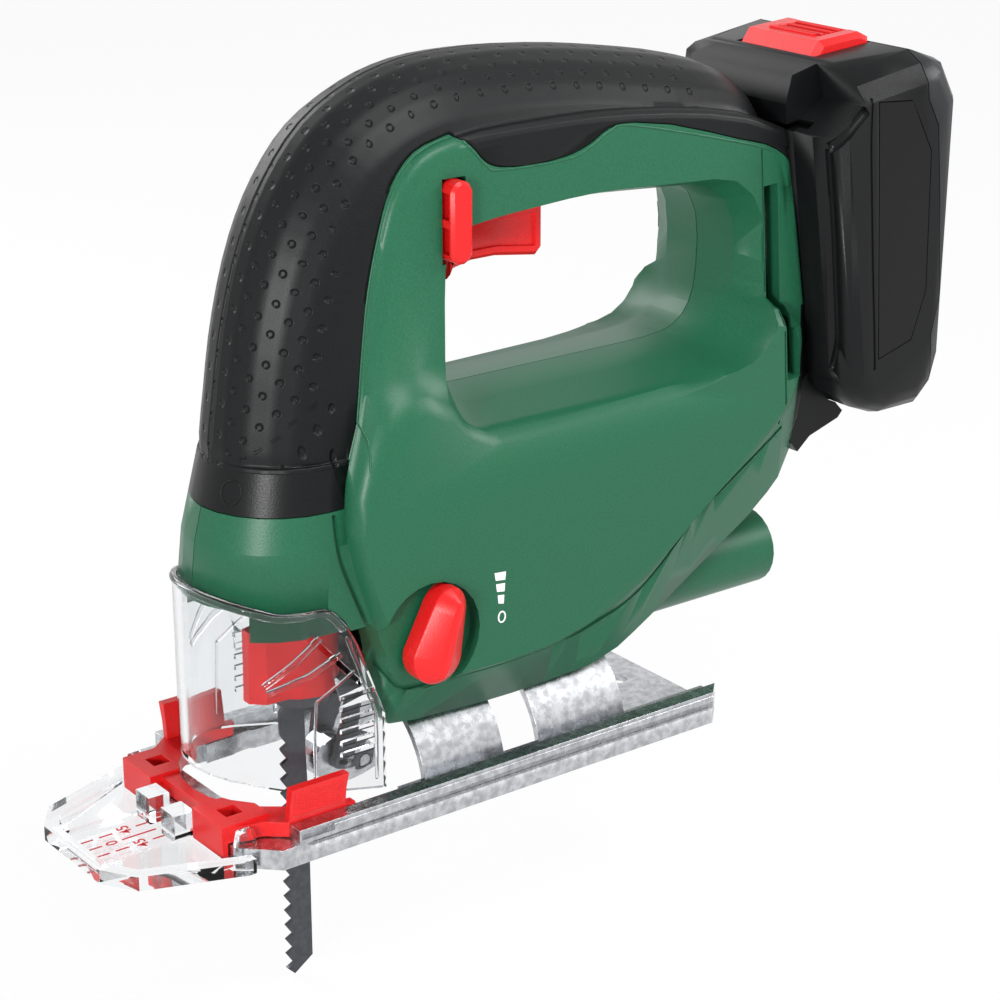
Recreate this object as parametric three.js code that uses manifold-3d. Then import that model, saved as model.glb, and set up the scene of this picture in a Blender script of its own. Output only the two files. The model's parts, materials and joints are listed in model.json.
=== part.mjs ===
// Cordless jigsaw with a slide-on battery pack, in millimetres.
// +X is the cutting direction, +Y the tool's left side, +Z up.
// The origin is on the plunger's axis, in the plane of the sole's underside.
import * as THREE from 'three';
import { mergeVertices } from 'three/addons/utils/BufferGeometryUtils.js';
import Module from 'manifold-3d';

// Running and seating clearances
const gap = 0.3;
const overrun = 60;
const tipOverrun = 1;
const longestEaseShare = 0.45;
const bellyEase = 5;
const windowEase = 9;
const sharpTurnAngle = Math.PI / 4;

// Body as a whole
const noseReach = 32;
const bodyLength = 188;
const bodyBottom = 19;
const bodyHeight = 173;
const wall = 2.3;
const gripSkin = 2.2;
const handleHalfWidth = 21.3;
const handleRounding = 26;
const rearRounding = 13;
const rearRoundingRun = 45;
const gripBottomZ = 72;
const flankHalfWidth = 22.4;
const flankRounding = 2.5;
const flankLedge = 0.7;
const bellyHalfWidth = 30.5;
const bellyEdgeDepth = 3;
const bellySlopeDepth = 7.5;
const bellyShelfDepth = 9;
const windowFlareStart = 14;
const windowFlareShare = 0.2;
const panelTopZ = 97;
const rearGripZ = 130;

// Nose, its collar and the chamber behind the blade
const noseFloorZ = 62;
const noseRearX = -10;
const noseMidZ = 77;
const noseSkirtZ = 54;
const noseRadius = 25.3;
const noseCentreX = 7.2;
const noseNeckRadius = 21.9;
const noseNeckCentreX = 2.5;
const noseTopZ = 98;
const collarBottomZ = 86.3;
const collarRearX = -3.5;
const chamberRearX = -26;
const chamberHalfWidth = 16;
const chamberCeilingZ = 51.5;
const chamberStepX = -11.5;

// Sole with its rolled side rails and saddle bands
const soleFront = 38;
const soleRear = 119.5;
const soleHalfWidth = 36;
const soleSheet = 2;
const railInner = 24;
const railOpenInner = 28.4;
const openingFront = 29;
const openingRear = -14;
const railHeight = 5.5;
const beadHeight = 9.4;
const beadWidth = 4.5;
const frontBarDepth = 12;
const soleCornerCut = 9;
const soleRearCut = 6;
const soleOpeningRear = 92.5;
const beadFront = 24;
const railSlotY = 29;
const railSlotWidth = 1.6;
const saddleRadius = 26;
const saddleSheet = 1.9;
const saddleClearance = 0.5;
const saddleGrooveFront = -17;
const saddleGrooveRear = -91;
const frontBandFront = -22;
const frontBandLength = 26;
const rearBandFront = -60;
const rearBandLength = 30;
const bandNotch = 9;
const bandNotchDepth = 6;
const rearHoleRadius = 3.2;
const rearHoleX = -108;
const railSlotLength = 10;
const railSlotCentreX = 18.6;
const tiltSlotHalf = 9;

// Clamp that holds the sole to the body
const clampBoltX = -75;
const clampBoltRadius = 2.5;
const clampHeadRadius = 4.6;
const clampHeadHeight = 4;
const clampPlateLength = 18;
const clampPlateHalfWidth = 7;
const clampPlateHeight = 2;
const clampBoltTopZ = 36;

// Motor and crank drive
const motorAxisZ = 60;
const motorRadius = 18.5;
const motorCanLength = 52;
const motorCanWall = 1.6;
const fanRadius = 17;
const fanLength = 6.5;
const fanBlades = 8;
const fanBladeThickness = 1.2;
const fanHubRadius = 6;
const endBellLength = 8;
const gearFrameX = -29;
const gearFrameThickness = 3;
const motorShaftRadius = 2;
const armatureRadius = 11;
const armatureLength = 34;
const armatureSlots = 5;
const armatureSlotWidth = 2;
const armatureSlotDepth = 4;
const commutatorRadius = 5;
const commutatorLength = 8;
const bearingRadius = 5.6;
const bearingLength = 5;
const gearModule = 0.9;
const pinionTeeth = 10;
const gearTeeth = 45;
const gearFaceX = -16;
const gearWidth = 6;
const toothHeightShare = 0.8;
const toothRootShare = 1.15;
const toothTipShare = 0.15;
const toothFootShare = 0.235;
const crankThrow = 10;
const crankPinRadius = 2.5;
const crankPinLength = 8;
const crankRollerWall = 1;
const crankAxleRadius = 4;
const counterweightThickness = 3;
const counterweightRadius = 17;

// Plunger, blade clamp and blade
const plungerRadius = 4;
const plungerTopZ = 128;
const plungerBottomZ = 46.5;
const yokeHalfWidth = 15;
const yokeHalfHeight = 5.5;
const yokeThickness = 3;
const yokeWeb = 1.6;
const bushRadius = 7;
const upperBushZ = 108;
const upperBushLength = 8;
const lowerBushZ = 61.5;
const lowerBushLength = 6.5;
const clampRadius = 6.4;
const clampBottomZ = 27;
const clampTopZ = 51;
const clampRimHeight = 3;
const bladeWidth = 8;
const bladeThickness = 1.3;
const bladeTipZ = -55;
const bladeTopZ = 44;
const bladeLead = 2.9;
const shankNeck = 3;
const toothPitch = 4.4;
const toothGullet = 2.2;
const toothLine = 74;
const leverThickness = 3;
const leverHeight = 20;
const leverReach = 17;
const leverTipRadius = 3;

// Blade support fork, its roller and the orbit control
const forkPivotX = -15;
const forkPivotZ = 38;
const forkPinRadius = 2;
const forkHalfWidth = 6;
const forkArmThickness = 1.8;
const forkArmDepth = 5.2;
const forkEyeRadius = 4.5;
const rollerRadius = 6.6;
const rollerWidth = 7;
const rollerZ = 7.4;
const rollerX = -8.6;
const forkTailX = -16.2;
const rollerPinRadius = 1.6;
const orbitShaftX = -21;
const orbitShaftZ = 48;
const orbitShaftRadius = 3;
const orbitCamRadius = 4.5;
const knobRecessRadius = 15.3;
const knobRecessDepth = 4;
const knobBaseRadius = 10.5;
const knobGripLength = 24;
const knobGripShares = [
  [-0.27, -0.28], [0, -0.375], [0.27, -0.28], [0.3, -0.05], [0.22, 0.28], [0.08, 0.6], [-0.08, 0.6],
  [-0.22, 0.28], [-0.3, -0.05],
];
const knobGripLean = -17;
const knobGripRounding = 1.2;
const knobHeight = 9;
const knobBaseThickness = 2.6;

// Trigger, lock-off bar and electrics in the handle
const triggerFront = -41.6;
const triggerLength = 30.4;
const triggerBottomZ = 135;
const triggerHeight = 16;
const triggerHalfWidth = 10.5;
const triggerTravel = 6;
const triggerRounding = 2;
const triggerArch = 3.9;
const lockBarFront = -31.4;
const lockBarDepth = 6.6;
const lockBarBottomZ = 143.5;
const lockBarHeight = 21;
const lockBarProud = 5;
const lockBarRounding = 0.8;
// Outline of the lock bar, as shares of its depth and height
const lockBarShares = [
  [0, 0.12], [0.15, 0.04], [0.38, 0], [0.62, 0], [0.85, 0.04], [1, 0.12], [1, 0.88], [0.85, 0.96],
  [0.62, 1], [0.38, 1], [0.15, 0.96], [0, 0.88],
];
const switchFront = -46;
const switchLength = 30;
const switchHalfWidth = 9;
const switchHeight = 17;
const ribThickness = 2;
const boardX = -139.8;
const boardThickness = 1.6;
const boardHalfWidth = 12;
const boardBottomZ = 100;
const boardHeight = 38;
const boardPartHeight = 2;
const boardPartSize = 6;

// Housing screws, driven in from the right
const screwHeadRadius = 3.1;
const screwHeadHeight = 2.4;
const screwShankRadius = 1.6;
const screwReach = 9;
const bossRadius = 4.8;
// Screw places as shares of the body's length, height and half width
const screwShares = [
  [0.9, 0.372, 0.57], [0.79, 0.775, 0.48], [0.324, 0.832, 0.48],
  [0.142, 0.815, 0.44], [0.463, 0.405, 0.68], [0.17, 0.25, 0.62],
];

// Dust tube and air slots
const tubeRadius = 11.3;
const tubeZ = 32.4;
const tubeRear = -158.3;
const tubeStepX = -107;
const tubeNeckRadius = 10;
const tubeNeckZ = 31;
const tubeFront = -91.3;
const tubeBoreRadius = 8.6;
const airSlotLength = 54;
const airSlotWidth = 5;
const airSlotX = -145;
const airSlotBottomZ = 94;

// Battery pack and the rails that carry it
const slideLean = 8.6;
const mountX = -159.3;
const mountZ = 88;
const packHalfWidth = 37.3;
const packHeight = 104;
const packDepth = 52;
const packFloor = -14;
const packRounding = 7;
const crownHalfWidth = 20.5;
const packWall = 2.2;
const channelHalfWidth = 26;
const channelDepth = 7.6;
const channelTopRoom = 2;
const channelLipReach = 3.5;
const channelLipDepth = 2.4;
const railPlateHalfWidth = 22;
const railPlateBottom = 2;
const railPlateTop = 74;
const spigotHalfWidth = 15;
const spigotDepth = 5;
const hookReach = 14;
const hookHalfWidth = 21;
const terminalHalfWidth = 12;
const terminalHeight = 10;
const terminalDepth = 3.6;
const bladeContactHeight = 9;
const bladeContactThickness = 0.8;
const bladeContactDepth = 2.6;
const bladeContactPitch = 7;
const bladeContactPlaces = [-1, 0, 1];
const cellRadius = 9.1;
const cellEndRoom = 6.3;
const cellPitch = 18.4;
const cellColumn = 4;
const cellFrontInset = 19.2;
const cellBottom = 5;
const cellStripWidth = 6;
const cellStripThickness = 0.8;
const packBoardZ = 72;
const packBoardThickness = 1.6;
const packBoardSideRoom = 9.3;
const packBoardDepth = 32;
const socketHalfWidth = 11;
const socketRiser = 3;
const buttonHalfWidth = 15.5;
const buttonFront = 16;
const buttonDepth = 22;
const buttonHeight = 11;
const buttonTop = 93.2;
const buttonSlope = 3.6;
const buttonTravel = 3;
const buttonRounding = 1.6;
const labelThickness = 0.8;

// Clear chip guard
const guardHalfWidth = 25.5;
const guardWall = 2;
const guardFront = 33;
const guardRearX = -9.5;
const guardTopZ = 66;
const guardBottomZ = 7.3;
const guardFrontBottomZ = 15.5;
const guardSideTopZ = 61;
const guardShoulderX = 0.5;
const guardShoulderZ = 50;
const pressRibs = 6;
const pressRibLength = 10;
const pressRibHeight = 1;
const pressRibWidth = 1.3;
const pressRibPitch = 3.2;
const pressRibX = -5.5;
const pressRibZ = 20;
const guardSlotLength = 22;
const guardSlotWidth = 1.6;
const guardSlotX = 5;
const guardSlotZ = 47;
const guardSlotTurn = 42;

// Cut guide: red clip-on frame and clear sight window
const frameBase = 5.8;
const frameTop = 9.8;
const frameMidFront = 36.5;
const frameRecessSide = 28.6;
const frameRecessFront = 0.5;
const bracketReach = 40;
const bracketInner = 10.5;
const bracketOuter = 25;
const bracketHole = 5;
const bracketHoleX = 33.4;
const bracketHoleY = 18;
const bracketTop = 10.7;
const bracketRearX = 26;
const frameNeckX = 29;
const frameNeckY = 27;
const frameRecessX = 20;
const frameRearX = 4;
const wingFront = 24;
const wingLength = 17;
const wingInner = 28.7;
const wingTopInner = 30.6;
const wingTopZ = 19.5;
const wingTopY = 33.2;
const wingWaistY = 31.8;
const wingFoot = 31.2;
const windowFront = 69;
const windowChannelFront = 66;
const windowSheet = 2.4;
const windowEdge = 3.4;
const windowEdgeHeight = 4;
const windowFrontHalfWidth = 23.5;
const windowNoseHalfWidth = 14.5;
const windowNoseDepth = 6;
const windowRearInset = 3;
const windowShoulderX = 37;
const windowChannelHalfWidth = 10;
const windowChannelSheet = 1.6;
const windowWingRearX = 35;
const windowRearX = 38.8;
const lugHalfWidth = 3.4;
const lugY = 6.4;
const lugHeight = 9;
const lugDepth = 6;

// Outlines in the lengthwise plane, as shares of the body's length and height
const gripShares = [
  [0.85, 0.05], [0.96, 0.445], [0.951, 0.543], [0.932, 0.659], [0.901, 0.769], [0.862, 0.85],
  [0.804, 0.923], [0.725, 0.971], [0.645, 0.994], [0.553, 0.999], [0.436, 0.992], [0.303, 0.972],
  [0.191, 0.948], [0.117, 0.922], [0.064, 0.879], [0.037, 0.803], [0.032, 0.526], [0.053, 0.387],
  [0.45, 0.387], [0.45, 0.05],
];
const panelShares = [
  [0.808, 0.451], [0.8, 0.514], [0.79, 0.618], [0.779, 0.699], [0.761, 0.775], [0.737, 0.841],
  [0.697, 0.883], [0.641, 0.901], [0.617, 0.884], [0.593, 0.857], [0.569, 0.846], [0.457, 0.845],
  [0.415, 0.858], [0.383, 0.876], [0.34, 0.879], [0.141, 0.825], [0.072, 0.8], [0.034, 0.762],
  [0.021, 0.711], [0.005, 0.422], [0.011, 0.352],
];
const flankShares = [
  [0.846, 0.283], [0.819, 0.451], [0.8, 0.514], [0.79, 0.618], [0.779, 0.699], [0.761, 0.775],
  [0.737, 0.841], [0.697, 0.883], [0.641, 0.901], [0.511, 0.908], [0.34, 0.902], [0.128, 0.867],
  [0.046, 0.832], [0.037, 0.792], [-0.012, 0.41], [0.011, 0.306], [0.08, 0.26], [0.723, 0.237],
];
const bellyMidShares = [
  [0.824, 0.399], [0.814, 0.318], [0.798, 0.243], [0.777, 0.127], [0.771, 0.017], [0.734, 0.006],
  [0.564, -0.001], [0.452, 0], [0.366, 0.006], [0.289, 0.051], [0.174, 0.125], [0.066, 0.194],
  [0.006, 0.256], [-0.008, 0.382], [0.011, 0.538], [0.133, 0.618], [0.213, 0.582], [0.282, 0.555],
  [0.553, 0.555], [0.606, 0.569], [0.644, 0.607], [0.766, 0.607],
];
const bellyShoulderShares = [
  [0.83, 0.399], [0.824, 0.318], [0.803, 0.243], [0.777, 0.127], [0.771, 0.023], [0.734, 0.012],
  [0.564, 0.003], [0.452, 0.006], [0.366, 0.012], [0.289, 0.056], [0.176, 0.132], [0.07, 0.201],
  [0.011, 0.262], [-0.003, 0.382], [0.016, 0.538], [0.133, 0.595], [0.197, 0.538], [0.277, 0.494],
  [0.559, 0.488], [0.62, 0.509], [0.67, 0.578], [0.777, 0.584],
];
const bellySideShares = [
  [0.839, 0.387], [0.836, 0.324], [0.818, 0.258], [0.78, 0.153], [0.763, 0.11], [0.731, 0.083],
  [0.564, 0.08], [0.468, 0.089], [0.351, 0.133], [0.287, 0.182], [0.218, 0.243], [0.106, 0.324],
  [0.043, 0.387], [0.027, 0.457], [0.037, 0.538], [0.12, 0.559], [0.176, 0.488], [0.261, 0.465],
  [0.566, 0.455], [0.634, 0.462], [0.691, 0.543], [0.782, 0.543],
];
const bellyEdgeShares = [
  [0.828, 0.376], [0.824, 0.318], [0.806, 0.257], [0.77, 0.156], [0.754, 0.121], [0.726, 0.098],
  [0.564, 0.095], [0.473, 0.104], [0.359, 0.147], [0.298, 0.195], [0.229, 0.254], [0.12, 0.335],
  [0.059, 0.399], [0.045, 0.457], [0.056, 0.514], [0.117, 0.538], [0.168, 0.471], [0.258, 0.45],
  [0.568, 0.439], [0.64, 0.446], [0.694, 0.514], [0.774, 0.514],
];
const windowInnerShares = [
  [0.596, 0.757], [0.638, 0.74], [0.649, 0.705], [0.652, 0.538], [0.641, 0.506], [0.606, 0.491],
  [0.202, 0.491], [0.154, 0.5], [0.125, 0.532], [0.113, 0.584], [0.113, 0.688], [0.154, 0.746],
  [0.404, 0.766],
];
const windowOuterShares = [
  [0.585, 0.775], [0.649, 0.763], [0.662, 0.717], [0.662, 0.526], [0.649, 0.483], [0.612, 0.465],
  [0.207, 0.465], [0.138, 0.474], [0.096, 0.514], [0.085, 0.578], [0.085, 0.699], [0.138, 0.769],
  [0.404, 0.786],
];
// Battery outline, as shares of the pack's depth and height
const packShares = [
  [0, 0.16], [0, 0.92], [0.06, 0.99], [0.3, 1], [0.73, 0.985], [0.9, 0.94], [0.985, 0.83],
  [0.76, 0.13], [0.68, 0.045], [0.55, 0], [0.27, 0.02], [0.13, 0.06], [0.04, 0.11],
];
// Shoulders beside the pack's crown, as shares of its half width and height
const shoulderShares = [[0.54, 1.01], [0.8, 0.985], [0.93, 0.955], [1, 0.905]];
const scoopShares = [[-0.2, 0.83], [0.03, 0.85], [0.27, 0.905], [0.2, 1.1], [-0.2, 1.1]];
// Hook under the pack, as shares of its reach
const hookShares = [
  [0.49, -0.21], [0.74, -0.9], [0.41, -1.42], [0.05, -1.2], [-0.76, -1.08], [-0.9, -0.97], [-0.5, -0.4],
  [-0.1, 0.25],
];
const labelShares = [
  [0.245, 0.2], [0.362, 0.9], [0.6, 0.872], [0.715, 0.718], [0.62, 0.337], [0.49, 0.215],
];
const packSeamShares = [
  [0.72, 1.1], [0.72, 0.86], [0.78, 0.78], [0.74, 0.3], [0.64, 0.2], [0.62, -0.1], [1.2, -0.1], [1.2, 1.1],
];

const wasm = await Module();
wasm.setup();
const { Manifold, Mesh: SolidMesh } = wasm;
const part = new THREE.Group();

// Solids and their booleans
function solid(geometry) {
  const bare = geometry.clone();
  bare.deleteAttribute('normal');
  bare.deleteAttribute('uv');
  const merged = mergeVertices(bare);
  return new Manifold(new SolidMesh({
    numProp: 3,
    vertProperties: Float32Array.from(merged.attributes.position.array),
    triVerts: Uint32Array.from(merged.index.array),
  }));
}

function join(...solids) {
  return solids.reduce((whole, next) => whole.add(next));
}

function cut(body, ...tools) {
  return tools.reduce((left, tool) => left.subtract(tool), body);
}

function geometryOf(body) {
  const mesh = body.getMesh();
  const geometry = new THREE.BufferGeometry();
  geometry.setAttribute('position', new THREE.BufferAttribute(Float32Array.from(mesh.vertProperties), 3));
  geometry.setIndex(new THREE.BufferAttribute(Uint32Array.from(mesh.triVerts), 1));
  const flat = geometry.toNonIndexed();
  flat.computeVertexNormals();
  return flat;
}

function addPiece(name, body, finish, parent = part) {
  const mesh = new THREE.Mesh(geometryOf(body), finish.clone());
  mesh.name = name;
  parent.add(mesh);
  return mesh;
}

// Outlines
function bodyOutline(shares) {
  return shares.map(([along, up]) => [
    noseReach - bodyLength + along * bodyLength, bodyBottom + up * bodyHeight,
  ]);
}

function packOutline(shares) {
  return shares.map(([back, up]) => [-back * packDepth, packFloor + up * packHeight]);
}

function inset(outline, distance) {
  const area = THREE.ShapeUtils.area(outline.map(([x, y]) => new THREE.Vector2(x, y)));
  return outline.map(([x, y], i) => {
    const side = Math.sign(area) * (Array.isArray(distance) ? distance[i] : distance);
    const [px, py] = outline[(i + outline.length - 1) % outline.length];
    const [nx, ny] = outline[(i + 1) % outline.length];
    const before = new THREE.Vector2(x - px, y - py).normalize();
    const after = new THREE.Vector2(nx - x, ny - y).normalize();
    const bend = 1 + before.dot(after);
    return [x - side * (before.y + after.y) / bend, y + side * (before.x + after.x) / bend];
  });
}

// Runs a smooth curve through an outline's points and leaves its sharp corners
function curved(outline, steps = 3, cornerSteps = steps) {
  const points = outline.map(([x, y]) => new THREE.Vector2(x, y));
  const count = points.length;
  const leg = (i) => points[(i + 1) % count].clone().sub(points[i]);
  const before = (i) => leg((i + count - 1) % count);
  const sharp = (i) => leg(i).normalize().dot(before(i).normalize()) < Math.cos(sharpTurnAngle);
  const middle = (i) => leg(i).normalize().add(before(i).normalize()).normalize();
  return points.flatMap((point, i) => {
    const next = (i + 1) % count;
    const length = leg(i).length();
    const leaving = sharp(i) ? leg(i) : middle(i).multiplyScalar(length);
    const arriving = sharp(next) ? leg(i) : middle(next).multiplyScalar(length);
    const parts = sharp(i) || sharp(next) ? cornerSteps : steps;
    return Array.from({ length: parts }, (_, k) => {
      const t = k / parts;
      const bow = leaving.clone().multiplyScalar(t * (1 - t) ** 2)
        .sub(arriving.clone().multiplyScalar(t ** 2 * (1 - t)));
      const along = leg(i).multiplyScalar(t ** 2 * (3 - 2 * t));
      return point.clone().add(along).add(bow).toArray();
    });
  });
}

// Rounds each corner of an outline and leaves its sides straight
function softened(outline, reach, steps) {
  if (!steps) return outline;
  const points = outline.map(([x, y]) => new THREE.Vector2(x, y));
  return points.flatMap((point, i) => {
    const [from, to] = [points.at(i - 1), points[(i + 1) % points.length]].map((other) => {
      const side = other.clone().sub(point);
      return side.clone().setLength(Math.min(reach, side.length() * longestEaseShare)).add(point);
    });
    const curve = new THREE.QuadraticBezierCurve(from, point, to);
    return curve.getPoints(steps).map((place) => place.toArray());
  });
}

function shapeOf(outline, holes = []) {
  const shape = new THREE.Shape(outline.map(([x, y]) => new THREE.Vector2(x, y)));
  shape.holes = holes.map((hole) => new THREE.Path(hole.map(([x, y]) => new THREE.Vector2(x, y))));
  return shape;
}

// An outline pushed along an axis: the outline lies across that axis
const crossAxes = {
  x: [new THREE.Vector3(0, 1, 0), new THREE.Vector3(0, 0, 1), new THREE.Vector3(1, 0, 0)],
  y: [new THREE.Vector3(1, 0, 0), new THREE.Vector3(0, 0, 1), new THREE.Vector3(0, -1, 0)],
  z: [new THREE.Vector3(1, 0, 0), new THREE.Vector3(0, 1, 0), new THREE.Vector3(0, 0, 1)],
};

function extrude(outline, axis, start, depth, rounding = 0, steps = 3) {
  const shape = Array.isArray(outline) ? shapeOf(outline) : outline;
  const geometry = new THREE.ExtrudeGeometry(shape, {
    depth: depth - 2 * rounding,
    bevelEnabled: rounding > 0,
    bevelThickness: rounding,
    bevelSize: rounding,
    bevelOffset: -rounding,
    bevelSegments: steps,
    curveSegments: 8,
  });
  geometry.translate(0, 0, axis === 'y' ? rounding - start - depth : rounding + start);
  geometry.applyMatrix4(new THREE.Matrix4().makeBasis(...crossAxes[axis]));
  return solid(geometry);
}

function slab(outline, halfWidth, rounding = 0, steps = 3) {
  return extrude(outline, 'y', -halfWidth, 2 * halfWidth, rounding, steps);
}

function box(xFrom, xTo, yFrom, yTo, zFrom, zTo) {
  const geometry = new THREE.BoxGeometry(xTo - xFrom, yTo - yFrom, zTo - zFrom);
  geometry.translate((xFrom + xTo) / 2, (yFrom + yTo) / 2, (zFrom + zTo) / 2);
  return solid(geometry);
}

function rod(axis, from, length, radius, a, b, sides = 20) {
  const geometry = new THREE.CylinderGeometry(radius, radius, length, sides);
  const middle = from + length / 2;
  if (axis === 'x') {
    geometry.rotateZ(Math.PI / 2);
    geometry.translate(middle, a, b);
  } else if (axis === 'y') {
    geometry.translate(a, middle, b);
  } else {
    geometry.rotateX(Math.PI / 2);
    geometry.translate(a, b, middle);
  }
  return solid(geometry);
}

function tube(axis, from, length, radius, bore, a, b, sides = 20) {
  return cut(
    rod(axis, from, length, radius, a, b, sides),
    rod(axis, from - overrun, length + 2 * overrun, bore, a, b, sides),
  );
}

// A closed skin through rings of matching points, with flat caps
function loft(rings, capPlane) {
  const count = rings[0].length;
  const position = rings.flat().flatMap((point) => point.toArray());
  const index = [];
  for (let ring = 0; ring + 1 < rings.length; ring += 1) {
    for (let i = 0; i < count; i += 1) {
      const a = ring * count + i;
      const b = ring * count + (i + 1) % count;
      index.push(a, b, b + count, a, b + count, a + count);
    }
  }
  [0, rings.length - 1].forEach((ring) => {
    const contour = rings[ring].map((point) => new THREE.Vector2(point[capPlane[0]], point[capPlane[1]]));
    THREE.ShapeUtils.triangulateShape(contour, []).forEach(([a, b, c]) => {
      const turned = (THREE.ShapeUtils.area(contour) > 0) === (ring === 0);
      index.push(...[a, turned ? c : b, turned ? b : c].map((i) => ring * count + i));
    });
  });
  const corner = (i) => new THREE.Vector3().fromArray(position, 3 * index[i]);
  const volume = index.reduce(
    (sum, _, i) => sum + (i % 3 ? 0 : corner(i).dot(corner(i + 1).cross(corner(i + 2)))), 0,
  );
  if (volume < 0) index.reverse();
  const geometry = new THREE.BufferGeometry();
  geometry.setAttribute('position', new THREE.BufferAttribute(Float32Array.from(position), 3));
  geometry.setIndex(index);
  return solid(geometry);
}

function acrossLoft(layers) {
  const rings = layers.map(({ y, outline }) => outline.map(([x, z]) => new THREE.Vector3(x, y, z)));
  return loft(rings, ['x', 'z']);
}

function upLoft(layers) {
  const rings = layers.map(({ z, outline }) => outline.map(([x, y]) => new THREE.Vector3(x, y, z)));
  return loft(rings, ['x', 'y']);
}

function turned(body, degrees, x, z) {
  return body.translate([-x, 0, -z]).rotate([0, degrees, 0]).translate([x, 0, z]);
}

// Finishes
function finishOf(color, roughness, metalness = 0) {
  return new THREE.MeshStandardMaterial({ color, roughness, metalness });
}
const green = finishOf(0x1f5a3c, 0.5);
const softBlack = finishOf(0x2b2c2e, 0.8);
const black = finishOf(0x1d1e20, 0.45);
const glossBlack = finishOf(0x0f1011, 0.15);
const red = finishOf(0xcf1a1c, 0.4);
const clear = finishOf(0xdfe6ea, 0.1);
const steel = finishOf(0xb9bcc0, 0.35, 1);
const darkSteel = finishOf(0x4b4f55, 0.45, 1);
const brass = finishOf(0xb58d44, 0.4, 1);
const copper = finishOf(0xb06a3c, 0.4, 1);
const board = finishOf(0x1f6b3a, 0.6);
const cellBlue = finishOf(0x3b5f8f, 0.5);

// Body forms, each drawn in by a given depth
function gripForm(depth, steps = 3, outlineSteps = 1) {
  const outline = curved(bodyOutline(gripShares), outlineSteps, 1);
  const halfWidth = handleHalfWidth - depth;
  const rounding = outline.map(([x]) => {
    const along = Math.min((x - noseReach + bodyLength) / rearRoundingRun, 1);
    return rearRounding + along * (handleRounding - rearRounding) - depth;
  });
  const layers = Array.from({ length: 2 * steps + 1 }, (_, i) => {
    const turn = ((i - steps) / steps) * Math.PI / 2;
    const drawn = rounding.map((reach) => depth + reach * (1 - Math.cos(turn)));
    return { y: halfWidth * Math.sin(turn), outline: inset(outline, drawn) };
  });
  return acrossLoft(layers).intersect(box(
    -2 * bodyLength, bodyLength, -overrun, overrun, gripBottomZ, 4 * overrun,
  ));
}

function flankForm(depth, outlineSteps = 1) {
  const rounding = Math.max(flankRounding - depth, gap);
  const outline = curved(bodyOutline(flankShares), outlineSteps);
  return slab(inset(outline, depth + flankLedge), flankHalfWidth - depth, rounding, outlineSteps);
}

function bellyForm(depth, steps = 0) {
  const edge = bellyHalfWidth - depth;
  const side = edge - bellyEdgeDepth;
  const shoulder = side - bellySlopeDepth;
  const middle = shoulder - bellyShelfDepth;
  const layers = [
    [edge, bellyEdgeShares], [side, bellySideShares], [
      shoulder, bellyShoulderShares,
    ], [middle, bellyMidShares],
  ];
  const outlines = layers.map(([y, shares]) => (
    { y, outline: inset(softened(bodyOutline(shares), bellyEase, steps), depth) }
  ));
  const mirrored = outlines.map(({ y, outline }) => ({ y: -y, outline }));
  return acrossLoft([...mirrored, ...outlines.reverse()]);
}

function frontArch(radius, centreX, rearX, steps = 12) {
  const arch = Array.from({ length: steps + 1 }, (_, i) => {
    const angle = -Math.PI / 2 + (i / steps) * Math.PI;
    return [centreX + radius * Math.cos(angle), radius * Math.sin(angle)];
  });
  return [...arch, [rearX, radius], [rearX, -radius]];
}

function noseForm(depth, bottomZ) {
  const midRadius = (noseRadius * 2 + noseNeckRadius) / 3 - depth;
  const midCentreX = (2 * noseCentreX + noseNeckCentreX) / 3;
  return upLoft([
    { z: bottomZ, outline: frontArch(noseRadius - depth, noseCentreX, noseRearX) },
    { z: noseMidZ, outline: frontArch(midRadius, midCentreX, noseRearX) },
    { z: noseTopZ, outline: frontArch(noseNeckRadius - depth, noseNeckCentreX, noseRearX) },
  ]);
}

function windowForm(growth, steps = 0) {
  const inner = inset(softened(bodyOutline(windowInnerShares), windowEase, steps), -growth);
  const outer = inset(softened(bodyOutline(windowOuterShares), windowEase, steps), -growth);
  const flared = inner.map(([x, z], i) => [
    x + (outer[i][0] - x) * windowFlareShare, z + (outer[i][1] - z) * windowFlareShare,
  ]);
  const flareEnd = flankHalfWidth + tipOverrun;
  return acrossLoft([
    { y: -overrun, outline: outer },
    { y: -flareEnd, outline: outer },
    { y: -windowFlareStart, outline: flared },
    { y: 0, outline: inner },
    { y: windowFlareStart, outline: flared },
    { y: flareEnd, outline: outer },
    { y: overrun, outline: outer },
  ]);
}

function chamberForm(growth) {
  const halfWidth = chamberHalfWidth + growth;
  const bottom = bodyBottom - overrun;
  return join(
    box(chamberRearX - growth, noseRearX, -halfWidth, halfWidth, bottom, chamberCeilingZ + growth),
    box(
      chamberStepX - growth, noseReach + tipOverrun, -halfWidth, halfWidth, bottom, noseFloorZ + growth,
    ),
  );
}

function saddleGroove(growth) {
  const length = saddleGrooveFront - saddleGrooveRear;
  return rod('x', saddleGrooveRear, length, saddleRadius + saddleClearance + growth, 0, 0, 48);
}

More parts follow.
